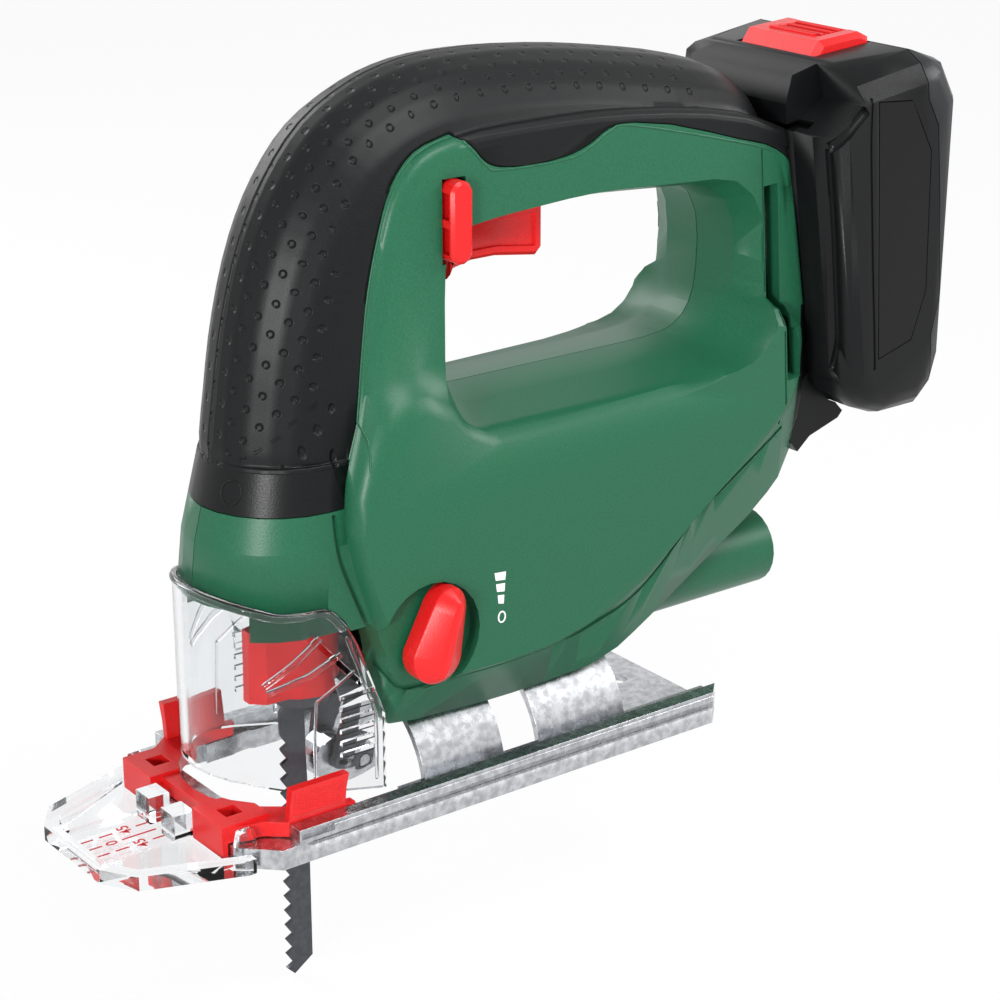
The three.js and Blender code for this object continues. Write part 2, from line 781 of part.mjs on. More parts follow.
// Chip guard envelope, used for the guard and for its rebate in the body
const guardCentreX = guardFront - guardHalfWidth;
const guardProfile = [
  [guardRearX, guardBottomZ],
  [guardFront - guardHalfWidth / 4, guardFrontBottomZ - gap],
  [guardFront + tipOverrun, guardFrontBottomZ + gap],
  [guardFront + tipOverrun, guardTopZ],
  [guardCentreX + guardHalfWidth / 2, guardSideTopZ + 2 * gap],
  [guardCentreX, guardSideTopZ],
  [guardShoulderX + guardWall, (guardSideTopZ + guardSideTopZ + guardShoulderZ) / 3],
  [guardShoulderX - guardWall, guardShoulderZ],
  [guardRearX, (guardShoulderZ + guardBottomZ) / 2],
];
function guardShell(outerGrowth, innerGrowth, profileGrowth) {
  const bottom = -tipOverrun;
  const height = guardTopZ + overrun;
  const outer = extrude(
    frontArch(guardHalfWidth + outerGrowth, guardCentreX, guardRearX - overrun), 'z', bottom, height,
  );
  const inner = extrude(
    frontArch(guardHalfWidth - guardWall - innerGrowth, guardCentreX, guardRearX - 2 * overrun), 'z',
    bottom - overrun, height + 2 * overrun,
  );
  return cut(outer, inner).intersect(slab(inset(guardProfile, -profileGrowth), overrun));
}

// Housing halves, their overmoulded grips and the collar band
const tubeOuter = join(
  rod('x', tubeRear, tubeStepX - tubeRear, tubeRadius, 0, tubeZ, 24),
  rod('x', tubeStepX - gap, tubeFront - tubeStepX + gap, tubeNeckRadius, 0, tubeNeckZ, 24),
);
const tubeSocket = join(
  rod('x', tubeRear - overrun, tubeStepX - tubeRear + overrun + gap, tubeRadius + gap, 0, tubeZ, 24),
  rod('x', tubeStepX, tubeFront - tubeStepX + gap, tubeNeckRadius + gap, 0, tubeNeckZ, 24),
);
const outerForm = join(
  gripForm(0, 6, 3), flankForm(0, 3), bellyForm(0, 1), noseForm(0, noseSkirtZ),
);
const underSkin = gripSkin + gap;
const coreForm = join(gripForm(underSkin), flankForm(underSkin), noseForm(underSkin, noseSkirtZ));
const innerForm = join(
  gripForm(underSkin + wall, 2), flankForm(underSkin + wall), bellyForm(wall),
  noseForm(underSkin + wall, noseFloorZ + wall),
);
const rootForm = join(
  gripForm(underSkin + wall / 2, 2), flankForm(underSkin + wall / 2), bellyForm(wall / 2),
  noseForm(underSkin + wall / 2, noseFloorZ + wall / 2),
);
const seatForm = join(
  gripForm(underSkin + wall + gap, 2), flankForm(underSkin + wall + gap), bellyForm(wall + gap),
  noseForm(underSkin + wall + gap, noseFloorZ + wall + gap),
);
const windowHole = windowForm(0, 2);
const panelOutline = curved(bodyOutline(panelShares));
const panelSlab = slab(panelOutline, overrun);
const panelSlabLow = slab(inset(panelOutline, -gap), overrun);
const bellyZone = bellyForm(-gap, 1);
const stripX = bodyOutline(panelShares).at(-1)[0];
const lowPart = join(
  box(stripX - gap, noseReach + overrun, -overrun, overrun, -overrun, panelTopZ - gap / 2),
  box(-bodyLength - overrun, stripX + tipOverrun, -overrun, overrun, -overrun, rearGripZ),
);
const collarZone = box(
  collarRearX, noseReach + overrun, -overrun, overrun, collarBottomZ, panelTopZ - gap / 2,
);
const collarCut = box(
  collarRearX - gap, noseReach + overrun, -overrun, overrun, collarBottomZ - gap, panelTopZ + gap / 2,
);

// Rear face, where the battery mount is fixed
function leaned(body) {
  return body.rotate([0, slideLean, 0]).translate([mountX, 0, mountZ]);
}
const behindMount = leaned(box(-overrun, gap, -overrun, overrun, -2 * overrun, 3 * overrun));
const spigotHole = leaned(box(
  -tipOverrun, spigotDepth + 2 * gap, -spigotHalfWidth - gap, spigotHalfWidth + gap,
  railPlateBottom - gap, railPlateTop + gap,
));

function hookForm(growth) {
  const outline = hookShares.map(([x, z]) => [x * hookReach, z * hookReach]);
  return leaned(slab(inset(outline, -growth), hookHalfWidth + growth));
}

const screwPlaces = bodyOutline(screwShares).map(
  ([x, z], i) => ({ x, z, seatY: -screwShares[i][2] * bellyHalfWidth }),
);
const bosses = join(
  ...screwPlaces.map(({ x, z }) => rod('y', -overrun, 2 * overrun, bossRadius, x, z, 10)),
);
const screwHoles = join(...screwPlaces.map(({ x, z, seatY }) => join(
  rod('y', -overrun, overrun + screwReach, screwShankRadius + gap, x, z, 8),
  rod('y', -overrun, overrun + seatY, screwHeadRadius + gap, x, z, 12),
)));

// Motor, gear and switch places, shared by the ribs that carry them
const gearCentreZ = motorAxisZ + gearModule * (pinionTeeth + gearTeeth) / 2;
const fanFront = gearFrameX - gap;
const motorFront = fanFront - fanLength - 2 * gap;
const motorRear = motorFront - motorCanLength;
const switchBottomZ = triggerBottomZ + triggerHeight + triggerTravel + gap;
function ribAt(x, ...openings) {
  return cut(
    rootForm.intersect(box(x, x + ribThickness, -overrun, overrun, -overrun, 4 * overrun)), ...openings,
  );
}
const motorSeat = rod(
  'x', motorRear - endBellLength - gap, endBellLength + fanFront - motorRear + gap, motorRadius + gap, 0,
  motorAxisZ, 24,
);
const aboveMotor = box(
  -3 * overrun, overrun, -overrun, overrun, motorAxisZ + motorRadius / 2, 4 * overrun,
);
const switchSeat = box(
  switchFront - switchLength - gap, switchFront + gap, -switchHalfWidth - gap, switchHalfWidth + gap,
  switchBottomZ - gap, switchBottomZ + switchHeight + gap,
);
const handleOnly = box(
  -bodyLength, noseReach, -overrun, overrun, switchBottomZ - ribThickness, bodyBottom + bodyHeight,
);
const boardSeat = box(
  boardX - boardThickness - gap, boardX + gap, -boardHalfWidth - gap, boardHalfWidth + gap,
  boardBottomZ - gap, boardBottomZ + boardHeight + gap,
);
const boardRib = box(
  boardX - boardThickness - ribThickness, boardX + ribThickness, -overrun, overrun,
  boardBottomZ - ribThickness, boardBottomZ,
);
const ribs = join(
  ribAt(motorFront - motorCanLength / 5, motorSeat, aboveMotor),
  ribAt(motorRear + motorCanLength / 6, motorSeat, aboveMotor),
  ribAt(switchFront - switchLength / 5, switchSeat).intersect(handleOnly),
  ribAt(switchFront - switchLength * 4 / 5, switchSeat).intersect(handleOnly),
  cut(rootForm.intersect(boardRib), boardSeat),
);
const clampBoss = rod(
  'z', saddleRadius, clampBoltTopZ + gap - saddleRadius, clampBoltRadius * 2, clampBoltX, 0, 16,
);
const clampHole = rod('z', 0, clampBoltTopZ + gap, clampBoltRadius + gap, clampBoltX, 0, 16);
const gearFrameZone = box(
  gearFrameX - gap, gearFrameX + gearFrameThickness + gap, -overrun, overrun, chamberCeilingZ,
  4 * overrun,
);
const triggerTunnel = box(
  triggerFront - triggerLength - gap, triggerFront + gap, -triggerHalfWidth - gap, triggerHalfWidth + gap,
  triggerBottomZ - gap, triggerBottomZ + triggerHeight + triggerTravel + 2 * gap,
);
const lockTunnel = box(
  lockBarFront - lockBarDepth - gap, lockBarFront + gap, -overrun, overrun,
  lockBarBottomZ - gap, lockBarBottomZ + lockBarHeight + gap,
);
const knobFloorY = bellyHalfWidth - knobRecessDepth;
const knobRecess = rod('y', knobFloorY, overrun, knobRecessRadius, orbitShaftX, orbitShaftZ, 24);
const knobBoss = rod(
  'y', chamberHalfWidth, knobFloorY - chamberHalfWidth, orbitCamRadius + wall, orbitShaftX, orbitShaftZ,
  16,
);
const knobSeat = rod(
  'y', knobFloorY - wall, overrun, knobRecessRadius + wall, orbitShaftX, orbitShaftZ, 24,
);
const knobSeatRoom = rod(
  'y', knobFloorY - wall - gap, overrun, knobRecessRadius + wall + gap, orbitShaftX, orbitShaftZ, 24,
);
const camRoom = rod(
  'y', -forkHalfWidth - gap, 2 * (forkHalfWidth + gap), orbitCamRadius + gap, orbitShaftX, orbitShaftZ, 16,
);
const shaftHole = rod('y', 0, overrun, orbitShaftRadius + gap, orbitShaftX, orbitShaftZ, 16);
const forkPinHole = rod(
  'y', -chamberHalfWidth - wall / 2, 2 * chamberHalfWidth + wall, forkPinRadius + gap, forkPivotX,
  forkPivotZ, 12,
);
const plungerHole = rod(
  'z', noseFloorZ - overrun, overrun + wall + tipOverrun, bushRadius + gap, 0, 0, 24,
);
const airSlots = turned(box(
  airSlotX - airSlotWidth / 2, airSlotX + airSlotWidth / 2, -overrun, overrun,
  airSlotBottomZ, airSlotBottomZ + airSlotLength,
), slideLean / 2, airSlotX, airSlotBottomZ);
const airBandHalf = handleHalfWidth - wall - gripSkin;
const airBand = box(-2 * bodyLength, 0, -airBandHalf, airBandHalf, 0, 4 * overrun);

const hollow = cut(innerForm, windowForm(wall), chamberForm(wall), saddleGroove(wall));
const collarRoom = cut(collarCut, bellyForm(0, 1));
const panelShell = cut(outerForm.intersect(join(panelSlab, lowPart, bellyZone)), collarRoom);
const skinZone = cut(outerForm, panelSlabLow, lowPart);
const innerParts = join(
  ribs, bosses.intersect(rootForm), clampBoss, knobBoss, knobSeat.intersect(rootForm),
);
const shell = cut(
  join(cut(join(panelShell, coreForm), hollow), innerParts),
  windowHole, chamberForm(0), saddleGroove(0), behindMount, spigotHole, hookForm(gap), tubeSocket,
  guardShell(overrun, gap, gap), screwHoles, motorSeat, gearFrameZone.intersect(innerForm), triggerTunnel,
  lockTunnel, knobRecess, camRoom, shaftHole, forkPinHole, plungerHole, clampHole, cut(airSlots, airBand),
);
const leftSide = box(-2 * bodyLength, bodyLength, gap / 2, 2 * overrun, -overrun, 4 * overrun);
const rightSide = box(-2 * bodyLength, bodyLength, -2 * overrun, -gap / 2, -overrun, 4 * overrun);
addPiece('left_housing', shell.intersect(leftSide), green);
addPiece('right_housing', shell.intersect(rightSide), green);

const underGrip = join(gripForm(gripSkin), flankForm(gripSkin), noseForm(gripSkin, noseSkirtZ));
const skin = cut(
  skinZone, underGrip, bellyZone, windowHole, behindMount, hookForm(gap), spigotHole, screwHoles,
  lockTunnel,
  triggerTunnel, cut(airSlots, airBand),
);
addPiece('left_grip', skin.intersect(leftSide), softBlack);
addPiece('right_grip', skin.intersect(rightSide), softBlack);
const collar = cut(cut(outerForm, underGrip).intersect(collarZone), bellyZone, screwHoles);
addPiece('nose_collar', collar, black);

screwPlaces.forEach(({ x, z, seatY }, i) => {
  const head = rod('y', seatY - gap - screwHeadHeight, screwHeadHeight, screwHeadRadius, x, z, 10);
  const shank = rod(
    'y', seatY - gap - screwHeadHeight / 2, screwReach - seatY, screwShankRadius, x, z, 8,
  );
  addPiece(`housing_screw_${i + 1}`, join(head, shank), darkSteel);
});

const tubeBore = join(
  rod('x', tubeRear - overrun, overrun + tubeStepX - tubeRear, tubeBoreRadius, 0, tubeZ, 20),
  rod('x', tubeStepX - wall, overrun, tubeBoreRadius, 0, tubeNeckZ, 20),
);
addPiece('dust_tube', cut(tubeOuter, tubeBore), green);

// Motor and rotor
const shaftBore = rod('x', -2 * overrun, 3 * overrun, motorShaftRadius + gap, 0, motorAxisZ, 12);
const canInner = rod(
  'x', motorRear - tipOverrun, motorCanLength - motorCanWall + tipOverrun, motorRadius - motorCanWall, 0,
  motorAxisZ, 24,
);
const motorCan = cut(
  rod('x', motorRear, motorCanLength, motorRadius, 0, motorAxisZ, 24), canInner, shaftBore,
);
addPiece('motor_can', motorCan, steel);
const bellInner = rod(
  'x', motorRear - endBellLength + wall, endBellLength, commutatorRadius + wall + gap, 0, motorAxisZ, 20,
);
const endBell = rod('x', motorRear - endBellLength, endBellLength, motorRadius, 0, motorAxisZ, 24);
addPiece('motor_end_bell', cut(endBell, bellInner, shaftBore), black);
const shaftRear = motorRear - endBellLength + tipOverrun;
const shaftFront = gearFaceX + tipOverrun;
addPiece(
  'motor_shaft', rod('x', shaftRear, shaftFront - shaftRear, motorShaftRadius, 0, motorAxisZ, 12), steel,
);
const armatureFront = motorFront - motorCanLength / 5;
const slotRing = Array.from({ length: armatureSlots }, (_, i) => {
  const slot = box(
    armatureFront - 2 * armatureLength, armatureFront + overrun, -armatureSlotWidth / 2,
    armatureSlotWidth / 2,
    armatureRadius - armatureSlotDepth, overrun,
  );
  return slot.rotate([(i * 360) / armatureSlots, 0, 0]).translate([0, 0, motorAxisZ]);
});
const armatureBody = rod(
  'x', armatureFront - armatureLength, armatureLength, armatureRadius, 0, motorAxisZ, 20,
);
addPiece('armature', cut(armatureBody, shaftBore, ...slotRing), copper);
const commutatorFront = armatureFront - armatureLength - tipOverrun;
const commutatorBody = rod(
  'x', commutatorFront - commutatorLength, commutatorLength, commutatorRadius, 0, motorAxisZ, 16,
);
addPiece('commutator', cut(commutatorBody, shaftBore), brass);
const fanRear = fanFront - fanLength;
const fanVanes = Array.from({ length: fanBlades }, (_, i) => box(
  fanRear + fanBladeThickness / 2, fanFront - gap, -fanBladeThickness / 2, fanBladeThickness / 2,
  fanHubRadius / 2, fanRadius,
).rotate([(i * 360) / fanBlades, 0, 0]).translate([0, 0, motorAxisZ]));
const fanBody = join(
  rod('x', fanRear, fanLength, fanHubRadius, 0, motorAxisZ, 16),
  rod('x', fanRear, fanBladeThickness, fanRadius - fanBladeThickness, 0, motorAxisZ, 24),
  ...fanVanes,
);
addPiece('cooling_fan', cut(fanBody, shaftBore), black);

function gearOutline(teeth, phase) {
  const pitchRadius = (gearModule * teeth) / 2;
  const tip = pitchRadius + toothHeightShare * gearModule;
  const root = pitchRadius - toothRootShare * gearModule;
  const pitchAngle = (2 * Math.PI) / teeth;
  const corners = [
    [root, -toothFootShare], [tip, -toothTipShare], [tip, toothTipShare], [root, toothFootShare],
  ];
  return Array.from({ length: teeth }, (_, i) => corners.map(([radius, turn]) => {
    const angle = (i + turn + phase) * pitchAngle;
    return [radius * Math.sin(angle), radius * Math.cos(angle)];
  })).flat();
}
const gearRear = gearFaceX - gearWidth;
const pinionBody = extrude(
  gearOutline(pinionTeeth, 0), 'x', gearRear, gearWidth,
).translate([0, 0, motorAxisZ]);
addPiece('pinion', cut(pinionBody, shaftBore), steel);

// Gear frame, crank and its bearings
const axleBore = rod('x', gearFrameX - overrun, 2 * overrun, crankAxleRadius + gap, 0, gearCentreZ, 16);
const bearingSeat = rod('x', gearFrameX - overrun, 2 * overrun, bearingRadius + gap, 0, motorAxisZ, 20);
const gearPlate = seatForm.intersect(box(
  gearFrameX, gearFrameX + gearFrameThickness, -overrun, overrun,
  chamberCeilingZ + wall + gap, upperBushZ + upperBushLength,
));
const bushArm = join(
  box(
    gearFrameX + tipOverrun, 0, -bushRadius - wall, bushRadius + wall,
    upperBushZ + tipOverrun, upperBushZ + upperBushLength - tipOverrun,
  ),
  rod('z', upperBushZ + tipOverrun, upperBushLength - 2 * tipOverrun, bushRadius + wall, 0, 0, 20),
);
const bushSeat = rod('z', upperBushZ - overrun, 2 * overrun, bushRadius + gap, 0, 0, 20);
addPiece(
  'gear_frame', cut(join(gearPlate, bushArm), axleBore, bearingSeat, bushSeat, knobSeatRoom), steel,
);
const bearingBody = rod('x', gearFrameX, bearingLength, bearingRadius, 0, motorAxisZ, 20);
addPiece('shaft_bearing', cut(bearingBody, shaftBore), steel);
addPiece(
  'upper_bush', tube('z', upperBushZ, upperBushLength, bushRadius, plungerRadius + gap, 0, 0), brass,
);
addPiece(
  'lower_bush', tube('z', lowerBushZ, lowerBushLength, bushRadius, plungerRadius + gap, 0, 0), brass,
);
addPiece(
  'crank_axle', rod('x', gearFrameX, gearFaceX - gap - gearFrameX, crankAxleRadius, 0, gearCentreZ, 16),
  steel,
);

const wheelBody = extrude(
  gearOutline(gearTeeth, 1 / 2 - gearTeeth / 2), 'x', gearRear, gearWidth,
).translate([0, 0, gearCentreZ]);
const crankPin = rod(
  'x', gearFaceX - tipOverrun, crankPinLength + tipOverrun, crankPinRadius, crankThrow, gearCentreZ, 14,
);
addPiece('crank_gear', join(cut(wheelBody, axleBore), crankPin), steel);
const rollerStart = gearFaceX + counterweightThickness + gap;
addPiece('crank_roller', tube(
  'x', rollerStart, gearFaceX + crankPinLength - rollerStart, crankPinRadius + gap + crankRollerWall,
  crankPinRadius + gap,
  crankThrow, gearCentreZ, 16,
), steel);
const weightDisc = rod('x', gearFaceX, counterweightThickness, counterweightRadius, 0, gearCentreZ, 24);
const weightCut = box(-overrun, overrun, -crankAxleRadius, overrun, 0, 4 * overrun);
addPiece('counterweight', cut(weightDisc, weightCut, axleBore), darkSteel);

// Plunger, blade clamp, blade and release lever
addPiece(
  'plunger_rod', rod('z', plungerBottomZ, plungerTopZ - plungerBottomZ, plungerRadius, 0, 0, 20), steel,
);
const yokeFront = -plungerRadius - gap;
const yokeRear = yokeFront - yokeThickness;
const yokeSlotHalf = crankThrow + crankPinRadius + gap + crankRollerWall + gap;
const yokeSlotHeight = crankPinRadius + crankRollerWall + 2 * gap;
const yokePlate = box(
  yokeRear, yokeFront, -yokeHalfWidth, yokeHalfWidth, gearCentreZ - yokeHalfHeight,
  gearCentreZ + yokeHalfHeight,
);
const yokeSlot = box(
  yokeRear - tipOverrun, yokeFront + tipOverrun, -yokeSlotHalf, yokeSlotHalf,
  gearCentreZ - yokeSlotHeight, gearCentreZ + yokeSlotHeight,
);
const yokeHubRadius = plungerRadius + gap + yokeWeb;
const yokeHub = rod('z', gearCentreZ - yokeHalfHeight, 2 * yokeHalfHeight, yokeHubRadius, 0, 0, 20);
const yokeBore = rod('z', gearCentreZ - overrun, 2 * overrun, plungerRadius + gap, 0, 0, 20);
const hubTrim = box(-overrun, yokeFront - gap, -overrun, overrun, 0, 4 * overrun);
addPiece('plunger_yoke', cut(join(cut(yokePlate, yokeSlot), cut(yokeHub, hubTrim)), yokeBore), darkSteel);
const clampRimRadius = clampRadius + gap + leverThickness / 2;
const clampBody = join(
  rod('z', clampBottomZ, clampTopZ - clampBottomZ, clampRadius, 0, 0, 24),
  rod('z', clampBottomZ, clampRimHeight, clampRimRadius, 0, 0, 24),
);
const clampBore = rod('z', plungerBottomZ - gap, overrun, plungerRadius + gap, 0, 0, 20);
const bladeSlot = box(
  -bladeWidth / 2 - gap, bladeWidth / 2 + gap, -bladeThickness / 2 - gap, bladeThickness / 2 + gap,
  clampBottomZ - tipOverrun, bladeTopZ + gap,
);
addPiece('blade_clamp', cut(clampBody, clampBore, bladeSlot), darkSteel);
const toothCount = Math.floor(toothLine / toothPitch);
const bladeFront = bladeWidth / 2 + bladeLead;
const bladeBack = bladeLead - bladeWidth / 2;
const shankHalf = bladeWidth / 2;
const shankFootZ = clampBottomZ - gap;
const toothPoints = Array.from({ length: toothCount }, (_, i) => {
  const z = bladeTipZ + toothPitch * (i + 1 / 2);
  return [[bladeFront, z], [bladeFront - toothGullet, z + toothPitch / 4]];
}).flat();
const bladeOutline = [
  [-shankHalf, bladeTopZ], [-shankHalf, shankFootZ], [bladeBack, shankFootZ - shankNeck],
  [bladeBack, bladeTipZ + bladeWidth / 2], [bladeFront - toothGullet, bladeTipZ], ...toothPoints,
  [bladeFront, bladeTipZ + toothPitch * (toothCount + 1 / 2)], [bladeFront, shankFootZ - shankNeck],
  [shankHalf, shankFootZ], [shankHalf, bladeTopZ],
];
addPiece('saw_blade', slab(bladeOutline, bladeThickness / 2), darkSteel);
const leverBore = clampRadius + gap;
const leverBottomZ = clampBottomZ + clampRimHeight + gap;
const leverArm = extrude([
  [0, leverBore], [
    leverReach - leverTipRadius, leverThickness + leverTipRadius,
  ], [leverReach, leverThickness],
  [leverReach, 0], [leverBore, -leverThickness],
], 'z', leverBottomZ, leverHeight);
const leverRing = rod('z', leverBottomZ, leverHeight, leverBore + leverThickness, 0, 0, 20);
const leverBoreRod = rod('z', leverBottomZ - overrun, 2 * overrun, leverBore, 0, 0, 20);
addPiece('release_lever', cut(join(leverRing, leverArm), leverBoreRod), red);

// Blade support fork and the orbit control
const armRun = new THREE.Vector2(rollerX - forkPivotX, rollerZ - forkPivotZ).normalize();
function forkStrip(near, far, from, to) {
  const along = (distance, side) => [
    forkPivotX + armRun.x * distance - armRun.y * side,
    forkPivotZ + armRun.y * distance + armRun.x * side,
  ];
  return [along(from, near), along(to, near), along(to, far), along(from, far)];
}
const armLength = Math.hypot(rollerX - forkPivotX, rollerZ - forkPivotZ);
const forkArms = [-1, 1].map((side) => {
  const start = side > 0 ? forkHalfWidth - forkArmThickness : -forkHalfWidth;
  return join(
    extrude(forkStrip(-forkArmDepth / 2, forkArmDepth / 2, 0, armLength), 'y', start, forkArmThickness),
    rod('y', start, forkArmThickness, forkArmDepth / 2, rollerX, rollerZ, 14),
  );
});
const forkWeb = extrude(
  forkStrip(
    -forkArmDepth / 2, -forkArmDepth / 2 + forkArmThickness, 0, armLength / 2,
  ), 'y', -forkHalfWidth, 2 * forkHalfWidth,
);
const forkTail = box(
  forkTailX, forkTailX + forkArmThickness, -forkArmDepth / 2, forkArmDepth / 2, forkPivotZ,
  orbitShaftZ + forkArmThickness,
);
const forkBody = join(
  rod('y', -forkHalfWidth, 2 * forkHalfWidth, forkEyeRadius, forkPivotX, forkPivotZ, 16), ...forkArms,
  forkWeb, forkTail,
);
const forkBores = join(
  rod('y', -overrun, 2 * overrun, forkPinRadius + gap, forkPivotX, forkPivotZ, 14),
  rod('y', -overrun, 2 * overrun, rollerPinRadius + gap, rollerX, rollerZ, 12),
);
addPiece('guide_fork', cut(forkBody, forkBores), darkSteel);
const forkPinHalf = chamberHalfWidth + wall / 2 - gap;
addPiece(
  'fork_pin', rod('y', -forkPinHalf, 2 * forkPinHalf, forkPinRadius, forkPivotX, forkPivotZ, 14), steel,
);
addPiece(
  'roller_pin', rod('y', -forkHalfWidth, 2 * forkHalfWidth, rollerPinRadius, rollerX, rollerZ, 12), steel,
);
const rollerHalf = rollerWidth / 2;
addPiece(
  'guide_roller',
  tube('y', -rollerHalf, rollerWidth, rollerRadius, rollerPinRadius + gap, rollerX, rollerZ, 24), steel,
);
const knobRear = knobFloorY + gap;
const camFlat = box(
  orbitShaftX + orbitShaftRadius + gap, overrun, -overrun, overrun, 0, 2 * overrun,
);
const shaftBody = rod(
  'y', -forkHalfWidth, knobRear + knobBaseThickness - gap + forkHalfWidth, orbitShaftRadius, orbitShaftX,
  orbitShaftZ, 16,
);
const camBody = rod('y', -forkHalfWidth, 2 * forkHalfWidth, orbitCamRadius, orbitShaftX, orbitShaftZ, 16);
addPiece('orbit_shaft', join(shaftBody, cut(camBody, camFlat)), steel);
const knobGrip = extrude(
  knobGripShares.map(([x, z]) => [
    x * knobGripLength, z * knobGripLength,
  ]), 'y', knobRear, knobHeight, knobGripRounding, 1,
).rotate([0, knobGripLean, 0]).translate([orbitShaftX, 0, orbitShaftZ]);
const knobBase = rod('y', knobRear, knobBaseThickness, knobBaseRadius, orbitShaftX, orbitShaftZ, 24);
const knobBore = rod(
  'y', 0, knobRear + knobBaseThickness, orbitShaftRadius + gap, orbitShaftX, orbitShaftZ, 16,
);
addPiece('orbit_knob', cut(join(knobBase, knobGrip), knobBore), red);

// Trigger, lock-off bar and electrics
const triggerRear = triggerFront - triggerLength;
const triggerTopZ = triggerBottomZ + triggerHeight;
const triggerOutline = [
  [triggerFront, triggerTopZ], [triggerFront, triggerBottomZ],
  [triggerFront - triggerRounding, triggerBottomZ + triggerArch * 2 / 3],
  [triggerFront - triggerLength / 4, triggerBottomZ + triggerArch],
  [triggerFront - triggerLength / 2, triggerBottomZ + triggerArch],
  [triggerRear + triggerRounding, triggerBottomZ + triggerRounding],
  [triggerRear, triggerBottomZ + triggerRounding * 2], [triggerRear, triggerTopZ],
];
addPiece('trigger', slab(triggerOutline, triggerHalfWidth, triggerRounding / 2, 1), red);
const barHalf = handleHalfWidth + lockBarProud;
const barOutline = lockBarShares.map(([back, up]) => [
  lockBarFront - back * lockBarDepth, lockBarBottomZ + up * lockBarHeight,
]);
addPiece('lock_off_bar', extrude(barOutline, 'y', -barHalf, 2 * barHalf, lockBarRounding, 1), red);
addPiece('switch_module', box(
  switchFront - switchLength, switchFront, -switchHalfWidth, switchHalfWidth, switchBottomZ,
  switchBottomZ + switchHeight,
), black);
const boardRear = boardX - boardThickness;
const boardParts = [-1, 0, 1].map((place) => box(
  boardRear - boardPartHeight, boardX - boardThickness / 2, (place - 1 / 2) * boardPartSize,
  (place + 1 / 3) * boardPartSize,
  boardBottomZ + (2 + place) * boardHeight / 4,
  boardBottomZ + (2 + place) * boardHeight / 4 + boardPartSize,
));
addPiece('control_board', join(
  box(
    boardRear, boardX, -boardHalfWidth, boardHalfWidth, boardBottomZ, boardBottomZ + boardHeight,
  ), ...boardParts,
), board);

// Sole with its saddle bands, and the bolt that clamps it
function mirrored(half) {
  return [...half, ...half.slice().reverse().map(([x, y]) => [x, -y])];
}
const solePlan = mirrored([
  [-soleRear, soleHalfWidth - soleRearCut], [soleRearCut - soleRear, soleHalfWidth],
  [soleFront - soleCornerCut, soleHalfWidth], [soleFront, soleHalfWidth - soleCornerCut],
]);
const soleBlock = join(
  extrude(solePlan, 'z', 0, soleSheet),
  extrude(solePlan, 'z', 0, railHeight).intersect(join(
    box(-soleRear, soleFront, railInner, overrun, 0, overrun),
    box(-soleRear, soleFront, -overrun, -railInner, 0, overrun),
    box(soleFront - frontBarDepth, soleFront, -overrun, overrun, 0, overrun),
  )),
  extrude(solePlan, 'z', 0, beadHeight).intersect(join(
    box(-soleRear, beadFront, soleHalfWidth - beadWidth, overrun, 0, overrun),
    box(-soleRear, beadFront, -overrun, beadWidth - soleHalfWidth, 0, overrun),
  )),
);
const bandTop = box(-overrun * 2, 0, -overrun, overrun, soleSheet / 2, overrun);
const soleBands = [
  [frontBandFront, frontBandLength], [rearBandFront, rearBandLength],
].map(([front, length]) => tube(
  'x', front - length, length, saddleRadius, saddleRadius - saddleSheet, 0, 0, 48,
).intersect(bandTop));
const bandNotches = join(
  box(frontBandFront - bandNotchDepth, 0, -bandNotch / 2, bandNotch / 2, saddleRadius / 2, overrun),
  box(
    clampBoltX - clampBoltRadius - gap, clampBoltX + clampBoltRadius + gap, -tiltSlotHalf, tiltSlotHalf,
    saddleRadius / 2, overrun,
  ),
);
const railSlots = [-1, 1].map((side) => box(
  railSlotCentreX - railSlotLength / 2, railSlotCentreX + railSlotLength / 2,
  side * railSlotY - railSlotWidth / 2, side * railSlotY + railSlotWidth / 2, -tipOverrun, overrun,
));
const soleOpenings = join(
  box(openingRear, openingFront - frontBarDepth / 4, -railOpenInner, railOpenInner, -tipOverrun, overrun),
  box(-soleOpeningRear, openingRear + tipOverrun, -railInner, railInner, -tipOverrun, overrun),
  rod('z', -tipOverrun, overrun, rearHoleRadius, rearHoleX, 0, 20),
);
addPiece(
  'sole_plate', cut(join(cut(soleBlock, soleOpenings), ...soleBands), bandNotches, ...railSlots), steel,
);
const plateRadius = saddleRadius - saddleSheet - gap;
const clampPlate = tube(
  'x', clampBoltX - clampPlateLength / 2, clampPlateLength, plateRadius, plateRadius - clampPlateHeight,
  0, 0, 48,
).intersect(box(-2 * overrun, 0, -clampPlateHalfWidth, clampPlateHalfWidth, 0, overrun));
addPiece('clamp_plate', cut(clampPlate, clampHole), steel);
const headTopZ = plateRadius - clampPlateHeight - 2 * gap;
addPiece('clamp_bolt', join(
  rod('z', headTopZ - clampHeadHeight, clampHeadHeight, clampHeadRadius, clampBoltX, 0, 6),
  rod('z', headTopZ - gap, clampBoltTopZ - headTopZ + gap, clampBoltRadius, clampBoltX, 0, 14),
), darkSteel);

